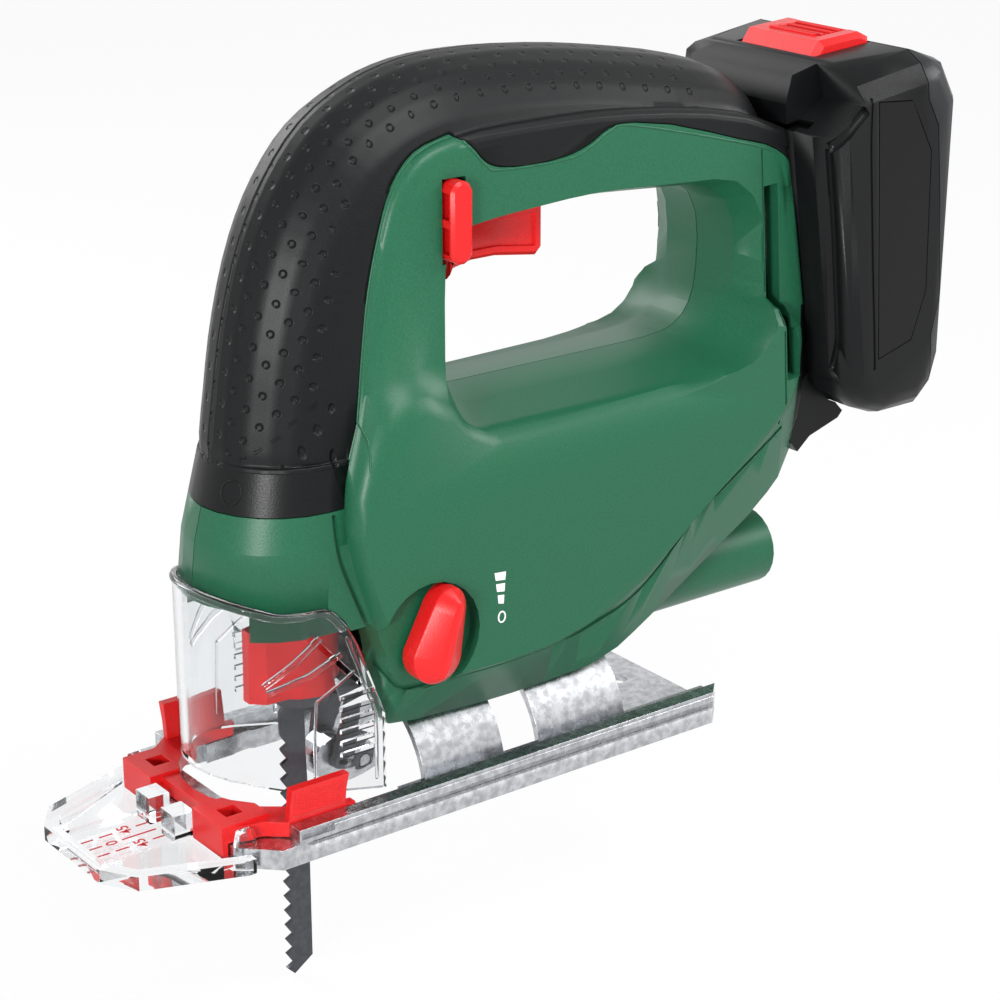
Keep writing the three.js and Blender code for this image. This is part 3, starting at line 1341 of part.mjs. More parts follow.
// Cut guide
const framePlan = mirrored([
  [frameRearX, wingFoot], [wingFront, wingFoot], [frameNeckX, frameNeckY], [frameMidFront, bracketOuter],
]);
const recessRadius = guardHalfWidth + frameRecessFront;
const frameRecess = join(
  extrude(frontArch(recessRadius, guardCentreX, frameRearX - overrun), 'z', 0, overrun),
  box(frameRearX - overrun, frameRecessX, -frameRecessSide, frameRecessSide, 0, overrun),
);
const wingOutline = [
  [wingInner, frameBase], [wingFoot, frameBase], [wingFoot, frameTop], [
    wingWaistY, (frameTop + wingTopZ) / 2,
  ],
  [wingTopY, wingTopZ], [wingTopInner, wingTopZ],
];
const framePieces = [-1, 1].flatMap((side) => {
  const [near, far] = side > 0 ? [bracketInner, bracketOuter] : [-bracketOuter, -bracketInner];
  return [
    extrude(wingOutline.map(([y, z]) => [side * y, z]), 'x', wingFront - wingLength, wingLength),
    cut(box(bracketRearX, bracketReach, near, far, frameBase, bracketTop), frameRecess),
    box(soleFront + gap, bracketReach, near, far, 0, bracketTop),
  ];
});
const bracketHoles = [-1, 1].map((side) => box(
  bracketHoleX - bracketHole / 2, bracketHoleX + bracketHole / 2,
  side * bracketHoleY - bracketHole / 2, side * bracketHoleY + bracketHole / 2, 0, overrun,
));
const frameBand = cut(extrude(framePlan, 'z', frameBase, frameTop - frameBase), frameRecess);
addPiece('guide_frame', cut(join(frameBand, ...framePieces), ...bracketHoles), red);
const windowRearHalfWidth = soleHalfWidth - windowRearInset;
const windowPlan = mirrored([
  [windowRearX, soleHalfWidth - soleCornerCut], [windowWingRearX, windowRearHalfWidth - windowSheet],
  [
    windowWingRearX, windowRearHalfWidth,
  ], [windowShoulderX, windowRearHalfWidth], [windowFront - windowNoseDepth, windowFrontHalfWidth],
  [windowFront, windowNoseHalfWidth],
]);
const windowSheetForm = extrude(windowPlan, 'z', 0, windowSheet);
const windowRimInner = mirrored([
  [0, windowRearHalfWidth - windowEdge], [windowShoulderX, windowRearHalfWidth - windowEdge],
  [windowFront - windowNoseDepth - windowEdge / 2, windowFrontHalfWidth - windowEdge],
  [windowFront - windowEdge, windowNoseHalfWidth - windowEdge / 2],
]);
const windowRim = cut(
  extrude(windowPlan, 'z', 0, windowEdgeHeight), extrude(windowRimInner, 'z', -tipOverrun, overrun),
);
const lugs = [-1, 1].map((side) => box(
  windowRearX, windowRearX + lugDepth, side * lugY - lugHalfWidth, side * lugY + lugHalfWidth, 0, lugHeight,
));
const windowCuts = join(
  box(
    windowRearX, windowChannelFront, -windowChannelHalfWidth, windowChannelHalfWidth, windowChannelSheet,
    overrun,
  ),
  box(0, bracketReach + gap, bracketInner - gap, bracketOuter + gap, -tipOverrun, overrun),
  box(0, bracketReach + gap, -bracketOuter - gap, gap - bracketInner, -tipOverrun, overrun),
);
addPiece('sight_window', join(cut(join(windowSheetForm, windowRim), windowCuts), ...lugs), clear);

// Chip guard
const strapSlit = turned(
  box(
    guardSlotX - guardSlotWidth / 2, guardSlotX + guardSlotWidth / 2, -overrun, overrun,
    guardSlotZ - guardSlotLength / 2, guardSlotZ + guardSlotLength / 2,
  ),
  guardSlotTurn, guardSlotX, guardSlotZ,
);
const ribSkin = guardHalfWidth - guardWall / 2;
const pressBars = Array.from({ length: pressRibs }, (_, i) => {
  const z = pressRibZ + i * pressRibPitch;
  const bar = box(
    pressRibX, pressRibX + pressRibLength, -guardHalfWidth - pressRibHeight,
    guardHalfWidth + pressRibHeight, z, z + pressRibWidth,
  );
  return cut(bar, box(-overrun, overrun, -ribSkin, ribSkin, 0, overrun));
});
addPiece('chip_guard', join(cut(guardShell(0, 0, 0), strapSlit), ...pressBars), clear);

// Battery mount on the tool and the pack that slides on it
function packForm(depth, steps = 3) {
  const shoulder = shoulderShares.map(([side, up]) => [
    side * packHalfWidth, packFloor + up * packHeight,
  ]);
  const side = [...shoulder, [2 * packHalfWidth, shoulder.at(-1)[1]], [2 * packHalfWidth, -overrun]];
  const section = [...side, ...side.slice().reverse().map(([y, z]) => [-y, z])];
  const body = slab(
    inset(packOutline(packShares), depth), packHalfWidth - depth, packRounding - depth, steps,
  );
  const scoops = cut(
    slab(inset(packOutline(scoopShares), -depth), overrun), slab(packOutline(scoopShares.map(
      ([back, up]) => [back * 2, up * 2 - 1],
    )), crownHalfWidth - depth),
  );
  return cut(body.intersect(extrude(inset(section, depth), 'x', -2 * overrun, 4 * overrun)), scoops);
}
const channelTop = railPlateTop + channelTopRoom;
function channelBox(growth) {
  const half = channelHalfWidth + growth;
  return box(-channelDepth - growth, overrun, -half, half, -2 * overrun, channelTop + growth);
}
const lipHalf = channelHalfWidth - channelLipReach;
const lips = cut(
  box(
    -channelLipDepth, overrun, -channelHalfWidth - tipOverrun, channelHalfWidth + tipOverrun,
    -2 * overrun, channelTop,
  ),
  box(-overrun, 2 * overrun, -lipHalf, lipHalf, -3 * overrun, 2 * overrun),
);
const channel = cut(channelBox(0), lips);
const railRear = gap - channelDepth;
const railStep = -channelLipDepth - gap;
const railHead = box(
  railRear, railStep, gap - channelHalfWidth, channelHalfWidth - gap, railPlateBottom, railPlateTop,
);
const railStem = box(
  railStep - tipOverrun, gap + tipOverrun, -railPlateHalfWidth, railPlateHalfWidth, railPlateBottom,
  railPlateTop,
);
const spigot = box(0, spigotDepth, -spigotHalfWidth, spigotHalfWidth, railPlateBottom, railPlateTop);
const stemTrim = cut(
  box(gap - tipOverrun, overrun, -overrun, overrun, -overrun, 2 * overrun),
  box(-overrun, 2 * overrun, -spigotHalfWidth, spigotHalfWidth, -overrun, 2 * overrun),
);
const terminalRear = railRear + gap;
const terminalFront = terminalRear + terminalDepth;
const terminalBottom = railPlateTop - terminalHeight;
const terminalPocket = box(
  railRear - tipOverrun, terminalFront + gap, -terminalHalfWidth - gap, terminalHalfWidth + gap,
  terminalBottom - gap, overrun * 2,
);
const hookSolid = slab(hookShares.map(([x, z]) => [x * hookReach, z * hookReach]), hookHalfWidth);
const hookClear = cut(hookSolid, cut(packForm(-gap), channelBox(0)));
addPiece(
  'battery_mount',
  leaned(join(cut(join(railHead, railStem, spigot), stemTrim, terminalPocket), hookClear)), black,
);
const contactMid = (terminalRear + terminalFront) / 2;
const contactBlades = bladeContactPlaces.map((place) => box(
  contactMid - bladeContactDepth / 2, contactMid + bladeContactDepth / 2,
  place * bladeContactPitch - bladeContactThickness / 2,
  place * bladeContactPitch + bladeContactThickness / 2,
  railPlateTop - tipOverrun, railPlateTop + bladeContactHeight,
));
addPiece('contact_block', leaned(join(
  box(
    terminalRear, terminalFront, -terminalHalfWidth, terminalHalfWidth, terminalBottom, railPlateTop,
  ), ...contactBlades,
)), copper);

const packHollow = cut(packForm(packWall, 2), channelBox(packWall));
const bladeHoles = join(...bladeContactPlaces.map((place) => box(
  contactMid - bladeContactDepth / 2 - gap, contactMid + bladeContactDepth / 2 + gap,
  place * bladeContactPitch - bladeContactThickness / 2 - gap,
  place * bladeContactPitch + bladeContactThickness / 2 + gap,
  channelTop - tipOverrun, channelTop + 2 * packWall + bladeContactHeight,
)));
const endSlots = bladeHoles.intersect(box(
  -overrun, overrun, -overrun, overrun, 0, channelTop + packWall + tipOverrun,
));
const buttonHole = box(
  -buttonFront - buttonDepth - gap, gap - buttonFront, -buttonHalfWidth - gap, buttonHalfWidth + gap,
  buttonTop - buttonHeight - buttonTravel, 2 * overrun,
);
const labelOutline = packOutline(labelShares);
const labelPockets = [-1, 1].map((side) => {
  const start = side > 0 ? packHalfWidth - labelThickness - gap : -packHalfWidth - tipOverrun;
  return extrude(inset(labelOutline, -gap), 'y', start, labelThickness + gap + tipOverrun);
});
const packCase = cut(packForm(0), packHollow, channel, endSlots, buttonHole, ...labelPockets);
const seamOutline = packOutline(packSeamShares);
addPiece('battery_inner_case', leaned(cut(packCase, slab(inset(seamOutline, -gap / 2), overrun))), black);
addPiece(
  'battery_outer_case', leaned(packCase.intersect(slab(inset(seamOutline, gap / 2), overrun))), black,
);
const cellLength = 2 * (packHalfWidth - cellEndRoom);
const cellPlaces = [
  ...Array.from({ length: cellColumn }, (_, i) => [-cellFrontInset, cellBottom + i * cellPitch]),
  [-cellFrontInset - cellPitch, cellBottom + (cellColumn - 1) * cellPitch],
];
const [firstCell, , , topCell, rearCell] = cellPlaces;
const cellStrips = [-1, 1].map((side) => {
  const inner = cellLength / 2 - cellStripThickness;
  const [from, to] = side > 0 ? [inner, inner + 2 * cellStripThickness] : [
    -inner - 2 * cellStripThickness, -inner,
  ];
  return join(
    box(
      firstCell[0] - cellStripWidth / 2, firstCell[0] + cellStripWidth / 2, from, to, firstCell[1],
      topCell[1],
    ),
    box(
      rearCell[0], topCell[0] + cellStripWidth / 2, from, to, topCell[1] - cellStripWidth / 2, topCell[1],
    ),
  );
});
const cells = cellPlaces.map(([x, z]) => rod('y', -cellLength / 2, cellLength, cellRadius, x, z, 18));
addPiece('battery_cells', leaned(join(...cells, ...cellStrips)), cellBlue);
const boardFront = -channelDepth - packWall - gap;
const socketBottom = channelTop + packWall + gap;
const packBoardHalfWidth = packHalfWidth - packBoardSideRoom;
const packBoard = join(
  box(
    boardFront - packBoardDepth, boardFront, -packBoardHalfWidth, packBoardHalfWidth, packBoardZ,
    packBoardZ + packBoardThickness,
  ),
  box(
    boardFront - socketRiser, boardFront, -socketHalfWidth, socketHalfWidth, packBoardZ,
    packBoardZ + overrun,
  ),
  box(boardFront - socketRiser, 0, -socketHalfWidth, socketHalfWidth, socketBottom, packBoardZ + overrun),
).intersect(packForm(packWall + gap, 2));
addPiece('battery_board', leaned(cut(packBoard, bladeHoles, buttonHole)), board);
[
  ['left_label_panel', packHalfWidth - labelThickness], ['right_label_panel', -packHalfWidth],
].forEach(([name, start]) => {
  addPiece(name, leaned(extrude(labelOutline, 'y', start, labelThickness)), glossBlack);
});
const buttonOutline = [
  [
    -buttonFront, buttonTop - buttonHeight,
  ], [-buttonFront, buttonTop - buttonSlope], [-buttonFront - buttonSlope, buttonTop],
  [-buttonFront - buttonDepth + buttonSlope, buttonTop - buttonSlope / 3],
  [-buttonFront - buttonDepth, buttonTop - buttonSlope], [
    -buttonFront - buttonDepth, buttonTop - buttonHeight,
  ],
];
addPiece('battery_button', leaned(slab(buttonOutline, buttonHalfWidth, buttonRounding, 1)), red);

export default part;
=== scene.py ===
import json
import math

import bpy
from mathutils import Matrix, Vector
from mathutils.bvhtree import BVHTree
from mathutils.geometry import convex_hull_2d

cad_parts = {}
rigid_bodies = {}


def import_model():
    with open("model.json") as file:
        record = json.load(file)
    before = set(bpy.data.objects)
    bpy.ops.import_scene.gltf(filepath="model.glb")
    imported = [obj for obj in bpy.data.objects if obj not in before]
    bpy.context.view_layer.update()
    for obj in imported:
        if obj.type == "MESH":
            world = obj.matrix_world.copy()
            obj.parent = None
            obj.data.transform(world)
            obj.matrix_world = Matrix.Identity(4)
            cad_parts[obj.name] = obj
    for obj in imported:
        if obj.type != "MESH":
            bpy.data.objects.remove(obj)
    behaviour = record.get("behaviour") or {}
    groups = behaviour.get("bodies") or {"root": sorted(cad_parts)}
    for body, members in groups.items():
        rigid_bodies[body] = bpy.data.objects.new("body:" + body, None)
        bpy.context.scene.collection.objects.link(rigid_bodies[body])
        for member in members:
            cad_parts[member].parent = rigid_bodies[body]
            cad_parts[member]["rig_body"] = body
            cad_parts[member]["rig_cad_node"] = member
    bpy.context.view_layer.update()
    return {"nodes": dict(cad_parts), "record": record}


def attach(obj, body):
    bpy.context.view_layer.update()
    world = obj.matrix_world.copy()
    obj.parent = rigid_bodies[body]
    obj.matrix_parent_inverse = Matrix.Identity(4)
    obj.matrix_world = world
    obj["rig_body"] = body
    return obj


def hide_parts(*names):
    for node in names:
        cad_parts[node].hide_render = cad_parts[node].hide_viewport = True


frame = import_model()
bpy.ops.object.select_all(action="DESELECT")

# Camera, at the height and side from which the tool was photographed.
# It stands off the front left corner and looks slightly down.
camera_turn, camera_rise = math.radians(37.1), math.radians(20.4)
camera_place = (0.3268, 0.5192, 0.3089)
camera_right = Vector((-math.cos(camera_turn), math.sin(camera_turn), 0))
camera_back = Vector((
    math.sin(camera_turn) * math.cos(camera_rise),
    math.cos(camera_turn) * math.cos(camera_rise),
    math.sin(camera_rise),
))
camera_up = camera_back.cross(camera_right)
bpy.ops.object.camera_add(location=camera_place)
camera = bpy.context.object
camera.rotation_euler = Matrix((camera_right, camera_up, camera_back)).transposed().to_euler()
camera.data.lens = 91.87
camera.data.sensor_width = 36
bpy.context.scene.camera = camera
bpy.context.scene.view_settings.view_transform = "Standard"

# Pale studio floor just under the blade's tip, a white sky and four soft lamps.
# Floor and sky are seen white, and the floor keeps a faint shadow.
floor_height, floor_size = -0.0556, 12
floor_seen_share, sky_light = 0.93, 0.36
bpy.ops.mesh.primitive_plane_add(size=floor_size, location=(0, 0, floor_height))
floor = bpy.context.object
floor.name = "studio_floor"
floor_look = bpy.data.materials.new("studio_floor")
floor_look.use_nodes = True
floor_nodes, floor_links = floor_look.node_tree.nodes, floor_look.node_tree.links
floor_shader = floor_nodes["Principled BSDF"]
floor_shader.inputs["Base Color"].default_value = (0.93, 0.93, 0.93, 1)
floor_shader.inputs["Roughness"].default_value = 0.9
floor_shader.inputs["Specular IOR Level"].default_value = 0.1
floor_glow = floor_nodes.new("ShaderNodeEmission")
floor_glow.inputs["Color"].default_value = (1, 1, 1, 1)
floor_glow.inputs["Strength"].default_value = 1
floor_mix = floor_nodes.new("ShaderNodeMixShader")
floor.data.materials.append(floor_look)


def seen_directly(nodes, links, share):
    ray = nodes.new("ShaderNodeLightPath")
    either = nodes.new("ShaderNodeMath")
    either.operation = "MAXIMUM"
    links.new(ray.outputs["Is Camera Ray"], either.inputs[0])
    links.new(ray.outputs["Is Transmission Ray"], either.inputs[1])
    seen = nodes.new("ShaderNodeMath")
    seen.operation = "MAXIMUM"
    links.new(either.outputs[0], seen.inputs[0])
    links.new(ray.outputs["Is Glossy Ray"], seen.inputs[1])
    part = nodes.new("ShaderNodeMath")
    part.operation = "MULTIPLY"
    part.inputs[1].default_value = share
    links.new(seen.outputs[0], part.inputs[0])
    return part.outputs[0]


floor_links.new(seen_directly(floor_nodes, floor_links, floor_seen_share), floor_mix.inputs[0])
floor_links.new(floor_shader.outputs[0], floor_mix.inputs[1])
floor_links.new(floor_glow.outputs[0], floor_mix.inputs[2])
floor_links.new(floor_mix.outputs[0], floor_nodes["Material Output"].inputs["Surface"])
sky = bpy.data.worlds.new("white_sky")
bpy.context.scene.world = sky
sky.use_nodes = True
sky_nodes, sky_links = sky.node_tree.nodes, sky.node_tree.links
sky_nodes["Background"].inputs["Color"].default_value = (0.95, 0.97, 1, 1)
sky_nodes["Background"].inputs["Strength"].default_value = sky_light
seen_sky = sky_nodes.new("ShaderNodeBackground")
seen_sky.inputs["Color"].default_value = (1, 1, 1, 1)
seen_sky.inputs["Strength"].default_value = 1.0
sky_mix = sky_nodes.new("ShaderNodeMixShader")
sky_links.new(seen_directly(sky_nodes, sky_links, 1.0), sky_mix.inputs[0])
sky_links.new(sky_nodes["Background"].outputs[0], sky_mix.inputs[1])
sky_links.new(seen_sky.outputs[0], sky_mix.inputs[2])
sky_links.new(sky_mix.outputs[0], sky_nodes["World Output"].inputs["Surface"])
for name, spot, aim, size, watts in (
    ("top_lamp", (-0.1, 0.36, 0.62), (-0.06, 0, 0.12), 0.34, 3.0),
    ("front_lamp", (0.82, 0.58, 0.24), (0, 0, 0.12), 0.2, 8.0),
    ("rear_lamp", (-0.95, 0.5, 0.5), (-0.15, 0, 0.1), 0.35, 4.5),
    ("far_lamp", (0.1, -0.9, 0.6), (-0.06, 0, 0.1), 0.6, 5.0),
):
    bpy.ops.object.light_add(type="AREA", location=spot)
    lamp = bpy.context.object
    lamp.name = name
    lamp.data.size = size
    lamp.data.energy = watts
    lamp.rotation_euler = (Vector(aim) - Vector(spot)).to_track_quat("-Z", "Y").to_euler()

# Moulded housing halves: two green shells of satin plastic that meet on the mid plane.
# A scribed seam frames the side panel, an air slot is cut beside the battery, and the rear
# strip is black. Outlines run along the tool and up, in millimetres.
MM = 0.001
outside = 0.08  # a place well clear of the tool's flank, from which lines are laid on it
seam_width, seam_rise = 1.7, -0.4
rear_line_width, rear_line_rise = 0.8, -0.15
air_slot_width, air_slot_rise = 7.6, 2.4
black_strip_reach = (73.5, 172, -140)  # lowest, highest and foremost
panel_seam_points = [
    (3.4, 88), (2.7, 75), (-1, 63.7), (-6.5, 50), (-9.4, 42), (-12, 36.8), (-17.4, 34.3), (-40, 34.2),
    (-63.3, 34.7), (-80, 37.6), (-91, 41), (-101, 48.5), (-112, 59.6), (-124, 67), (-137.3, 74.6),
    (-145, 79),
]
rear_line_points = [(-137.2, 158), (-138.6, 140), (-140.2, 118), (-141.8, 95), (-143.2, 76)]
air_slot_ends = [(-148.2, 147), (-149.4, 108)]
strip_edge = [
    (-143.5, 165.5), (-149.0, 160.0), (-151.6, 150.3), (-152.9, 133.2), (-153.3, 113.1),
    (-153.6, 89.5), (-151.2, 76.5), (-145.1, 67.1),
]


def plastic(name, colour, roughness, grain=2200, depth=0.00006, spread=0.1, specular=0.25):
    look = bpy.data.materials.new(name)
    look.use_nodes = True
    nodes, links = look.node_tree.nodes, look.node_tree.links
    shader = nodes["Principled BSDF"]
    place = nodes.new("ShaderNodeTexCoord")
    grains = nodes.new("ShaderNodeTexNoise")
    grains.name = "grains"
    grains.inputs["Scale"].default_value = grain
    grains.inputs["Detail"].default_value = 3
    links.new(place.outputs["Object"], grains.inputs["Vector"])
    tint = nodes.new("ShaderNodeValToRGB")
    tint.color_ramp.elements[0].position = 0.35
    tint.color_ramp.elements[1].position = 0.65
    tint.color_ramp.elements[0].color = (*[c * (1 - spread) for c in colour], 1)
    tint.color_ramp.elements[1].color = (*[min(1, c * (1 + spread)) for c in colour], 1)
    links.new(grains.outputs["Fac"], tint.inputs["Fac"])
    links.new(tint.outputs["Color"], shader.inputs["Base Color"])
    rough = nodes.new("ShaderNodeMapRange")
    rough.inputs["To Min"].default_value = roughness - 0.05
    rough.inputs["To Max"].default_value = roughness + 0.05
    links.new(grains.outputs["Fac"], rough.inputs["Value"])
    links.new(rough.outputs["Result"], shader.inputs["Roughness"])
    relief = nodes.new("ShaderNodeBump")
    relief.name = "relief"
    relief.inputs["Strength"].default_value = 0.6
    relief.inputs["Distance"].default_value = depth
    links.new(grains.outputs["Fac"], relief.inputs["Height"])
    links.new(relief.outputs["Normal"], shader.inputs["Normal"])
    shader.inputs["Specular IOR Level"].default_value = specular
    return look


def pick(*pieces):
    bpy.ops.object.select_all(action="DESELECT")
    for piece in pieces:
        piece.select_set(True)
    bpy.context.view_layer.objects.active = pieces[-1]


def smoothed(piece, angle):
    pick(piece)
    bpy.ops.object.shade_smooth_by_angle(angle=math.radians(angle))
    return piece


def smooth_copy(node, name, angle=38, cuts=0):
    piece = frame["nodes"][node].copy()
    piece.data = piece.data.copy()
    piece.name = piece.data.name = name
    piece.parent = None
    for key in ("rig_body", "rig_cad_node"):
        del piece[key]
    bpy.context.scene.collection.objects.link(piece)
    pick(piece)
    bpy.ops.object.mode_set(mode="EDIT")
    bpy.ops.mesh.select_all(action="SELECT")
    bpy.ops.mesh.remove_doubles(threshold=0.00001)
    if cuts:
        bpy.ops.mesh.subdivide(number_cuts=cuts)
    else:
        bpy.ops.mesh.dissolve_limited(angle_limit=math.radians(0.3))
    bpy.ops.object.mode_set(mode="OBJECT")
    return smoothed(piece, angle)


def dressed(piece, body, slot, look, *replaced):
    if look:
        piece.data.materials.clear()
        piece.data.materials.append(look)
    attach(piece, body)
    if replaced:
        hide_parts(*replaced)
    return piece


def eased(points, steps=6):
    run, last = [], len(points) - 1
    for i in range(last):
        before, start, end, after = [Vector(points[min(max(k, 0), last)]) for k in range(i - 1, i + 3)]
        for s in range(steps):
            t = s / steps
            swing = (2 * before - 5 * start + 4 * end - after) * t ** 2
            settle = (3 * start - before - 3 * end + after) * t ** 3
            run.append(0.5 * (2 * start + (end - before) * t + swing + settle))
    run.append(Vector(points[-1]))
    return run


def laid_on(piece, points, side=1, rise=0.0):
    tree = BVHTree.FromObject(piece, bpy.context.evaluated_depsgraph_get())
    run = []
    for x, z in points:
        hit = tree.ray_cast(Vector((x * MM, outside * side, z * MM)), Vector((0, -side, 0)))[0]
        if hit:
            run.append(hit + Vector((0, rise * MM * side, 0)))
    return run


def wire(name, points, width, closed=False):
    bpy.ops.curve.primitive_nurbs_path_add()
    strand = bpy.context.object
    strand.name = strand.data.name = name
    strand.data.splines.clear()
    run = strand.data.splines.new("POLY")
    run.points.add(len(points) - 1)
    for knot, place in zip(run.points, points):
        knot.co = (*place, 1)
    run.use_cyclic_u = closed
    strand.data.bevel_depth = width * MM / 2
    strand.data.bevel_resolution = 2
    strand.data.use_fill_caps = True
    pick(strand)
    bpy.ops.object.convert(target="MESH")
    bpy.ops.object.mode_set(mode="EDIT")
    bpy.ops.mesh.select_all(action="SELECT")
    bpy.ops.mesh.remove_doubles(threshold=0.000001)
    bpy.ops.mesh.normals_make_consistent(inside=False)
    bpy.ops.object.mode_set(mode="OBJECT")
    return strand


def carved(piece, cutter, operation="DIFFERENCE", angle=38):
    pick(piece)
    tool = piece.modifiers.new("carve", "BOOLEAN")
    tool.object = cutter
    tool.operation = operation
    tool.solver = "EXACT"
    bpy.ops.object.modifier_apply(modifier=tool.name)
    bpy.data.objects.remove(cutter)
    return smoothed(piece, angle)


def corner_cut(piece, edges, reach, look):
    pick(piece)
    for (x, z), (x2, z2) in edges:
        bpy.ops.object.mode_set(mode="EDIT")
        bpy.ops.mesh.select_all(action="SELECT")
        bpy.ops.mesh.bisect(plane_co=(x * MM, 0, z * MM), plane_no=(z2 - z, 0, x - x2))
        bpy.ops.object.mode_set(mode="OBJECT")
    piece.data.materials.append(look)
    lowest, highest, foremost = reach
    for face in piece.data.polygons:
        at = face.center / MM
        beyond = any((at.x - x) * (z2 - z) + (at.z - z) * (x - x2) > 0.001 for (x, z), (x2, z2) in edges)
        if beyond and lowest < at.z < highest and at.x < foremost:
            face.material_index = len(piece.data.materials) - 1


green = plastic("green_plastic", (0.0135, 0.100, 0.049), 0.36, specular=0.26)
black = plastic("black_plastic", (0.005, 0.0053, 0.0058), 0.33, specular=0.18)
shells = {}
for hand, side in (("left", 1), ("right", -1)):
    shell = smooth_copy(f"{hand}_housing", f"{hand}_shell")
    shells[hand] = shell
    seam = laid_on(shell, eased(panel_seam_points), side, seam_rise)
    shell = carved(shell, wire("groove", seam, seam_width))
    rear_line = laid_on(shell, eased(rear_line_points), side, rear_line_rise)
    shell = carved(shell, wire("groove", rear_line, rear_line_width))
    upper, lower = laid_on(shell, air_slot_ends, side, air_slot_rise)
    shell = carved(shell, wire("slot", [upper, upper.lerp(lower, 0.5), lower], air_slot_width))
    shell.data.materials.clear()
    shell.data.materials.append(green)
    corner_cut(shell, list(zip(strip_edge, strip_edge[1:])), black_strip_reach, black)
    dressed(shell, "tool_body", "green_plastic", None, f"{hand}_housing")

# Thin moulded lip of green plastic, where the side panel meets the soft grip.
# It is part of each housing half, stands a hair proud of it and catches the light.
lip_width, lip_rise, lip_drop = 0.7, -0.12, 0.7
wire_angle = 60  # thin round strands are shaded smooth all round
lip_points = [
    (-4.1, 97), (-5.6, 107.9), (-7.5, 125.9), (-9.5, 139.9), (-12.9, 153.1), (-17.4, 164.5),
    (-25, 171.8), (-35.5, 174.9), (-40, 171.9), (-44.5, 167.3), (-49, 165.4), (-70.1, 165.2),
    (-78, 167.4), (-84, 170.5), (-92.1, 171.1), (-129.5, 161.7), (-142.5, 157.4),
]
for hand, side in (("left", 1), ("right", -1)):
    lip_line = eased([(x, z - lip_drop) for x, z in lip_points], 4)
    lip = wire(f"{hand}_panel_lip", laid_on(shells[hand], lip_line, side, lip_rise), lip_width)
    smoothed(lip, wire_angle)
    dressed(lip, "tool_body", "green_plastic", green)

# Dust outlet: a plain green plastic pipe under the battery, open at its rear end.
# It is a push fit in the two housing halves.
pipe = smooth_copy("dust_tube", "dust_pipe")
dressed(pipe, "tool_body", "green_plastic", green, "dust_tube")

# Soft grip: charcoal rubber moulded over each half of the handle.
# Round dimples stand in staggered rows that follow the handle's length and its girth.
dimple_pitch, dimple_depth = 7.9 * MM, 0.55 * MM
dimple_floor_share, dimple_rim_share = 0.05, 0.16
dimples_start, dimples_end, dimples_half_width = 3.2 * MM, 234 * MM, 29.2 * MM
edge_fade = 0.2 * MM
narrowings = (84 * MM, 108 * MM)  # lengths at which the field gives up half a row each side
grip_half_width, grip_rounding = 21.3 * MM, 26 * MM
soft = plastic("soft_grip", (0.0045, 0.005, 0.0055), 0.4, 2600, 0.00005, 0.25, 0.19)
soft_nodes, soft_links = soft.node_tree.nodes, soft.node_tree.links
girth = soft_nodes.new("ShaderNodeUVMap")
girth.uv_map = "girth"
nearest = []
for shift in (0.5, 0.0):
    cells = soft_nodes.new("ShaderNodeVectorMath")
    cells.operation = "MULTIPLY_ADD"
    cells.inputs[1].default_value = (1 / dimple_pitch, 1 / dimple_pitch, 0)
    cells.inputs[2].default_value = (shift, shift, 0)
    soft_links.new(girth.outputs["UV"], cells.inputs[0])
    inside = soft_nodes.new("ShaderNodeVectorMath")
    inside.operation = "FRACTION"
    soft_links.new(cells.outputs[0], inside.inputs[0])
    centred = soft_nodes.new("ShaderNodeVectorMath")
    centred.operation = "SUBTRACT"
    centred.inputs[1].default_value = (0.5, 0.5, 0)
    soft_links.new(inside.outputs[0], centred.inputs[0])
    away = soft_nodes.new("ShaderNodeVectorMath")
    away.operation = "LENGTH"
    soft_links.new(centred.outputs[0], away.inputs[0])
    nearest.append(away.outputs["Value"])
near = soft_nodes.new("ShaderNodeMath")
near.operation = "MINIMUM"
soft_links.new(nearest[0], near.inputs[0])
soft_links.new(nearest[1], near.inputs[1])
cup = soft_nodes.new("ShaderNodeMapRange")
cup.interpolation_type = "SMOOTHERSTEP"
cup.inputs["From Min"].default_value = dimple_floor_share
cup.inputs["From Max"].default_value = dimple_rim_share
cup.inputs["To Min"].default_value = 0
cup.inputs["To Max"].default_value = 1
soft_links.new(near.outputs[0], cup.inputs["Value"])
where = soft_nodes.new("ShaderNodeSeparateXYZ")
soft_links.new(girth.outputs["UV"], where.inputs[0])
across = soft_nodes.new("ShaderNodeMath")
across.operation = "ABSOLUTE"
soft_links.new(where.outputs["Y"], across.inputs[0])
spread_now = across.outputs[0]
for narrowing in narrowings:
    past = soft_nodes.new("ShaderNodeMath")
    past.operation = "GREATER_THAN"
    past.inputs[1].default_value = narrowing
    soft_links.new(where.outputs["X"], past.inputs[0])
    row = soft_nodes.new("ShaderNodeMath")
    row.operation = "MULTIPLY_ADD"
    row.inputs[1].default_value = dimple_pitch / 2
    soft_links.new(past.outputs[0], row.inputs[0])
    soft_links.new(spread_now, row.inputs[2])
    spread_now = row.outputs[0]
filled = cup.outputs["Result"]
for measure, inner, outer in (
    (spread_now, dimples_half_width, dimples_half_width + edge_fade),
    (where.outputs["X"], dimples_start, dimples_start - edge_fade),
    (where.outputs["X"], dimples_end, dimples_end + edge_fade),
):
    bare = soft_nodes.new("ShaderNodeMapRange")
    bare.inputs["From Min"].default_value = inner
    bare.inputs["From Max"].default_value = outer
    soft_links.new(measure, bare.inputs["Value"])
    fill = soft_nodes.new("ShaderNodeMath")
    fill.operation = "MAXIMUM"
    soft_links.new(filled, fill.inputs[0])
    soft_links.new(bare.outputs["Result"], fill.inputs[1])
    filled = fill.outputs[0]
dimple = soft_nodes.new("ShaderNodeBump")
dimple.inputs["Strength"].default_value = 1
dimple.inputs["Distance"].default_value = dimple_depth
soft_links.new(filled, dimple.inputs["Height"])
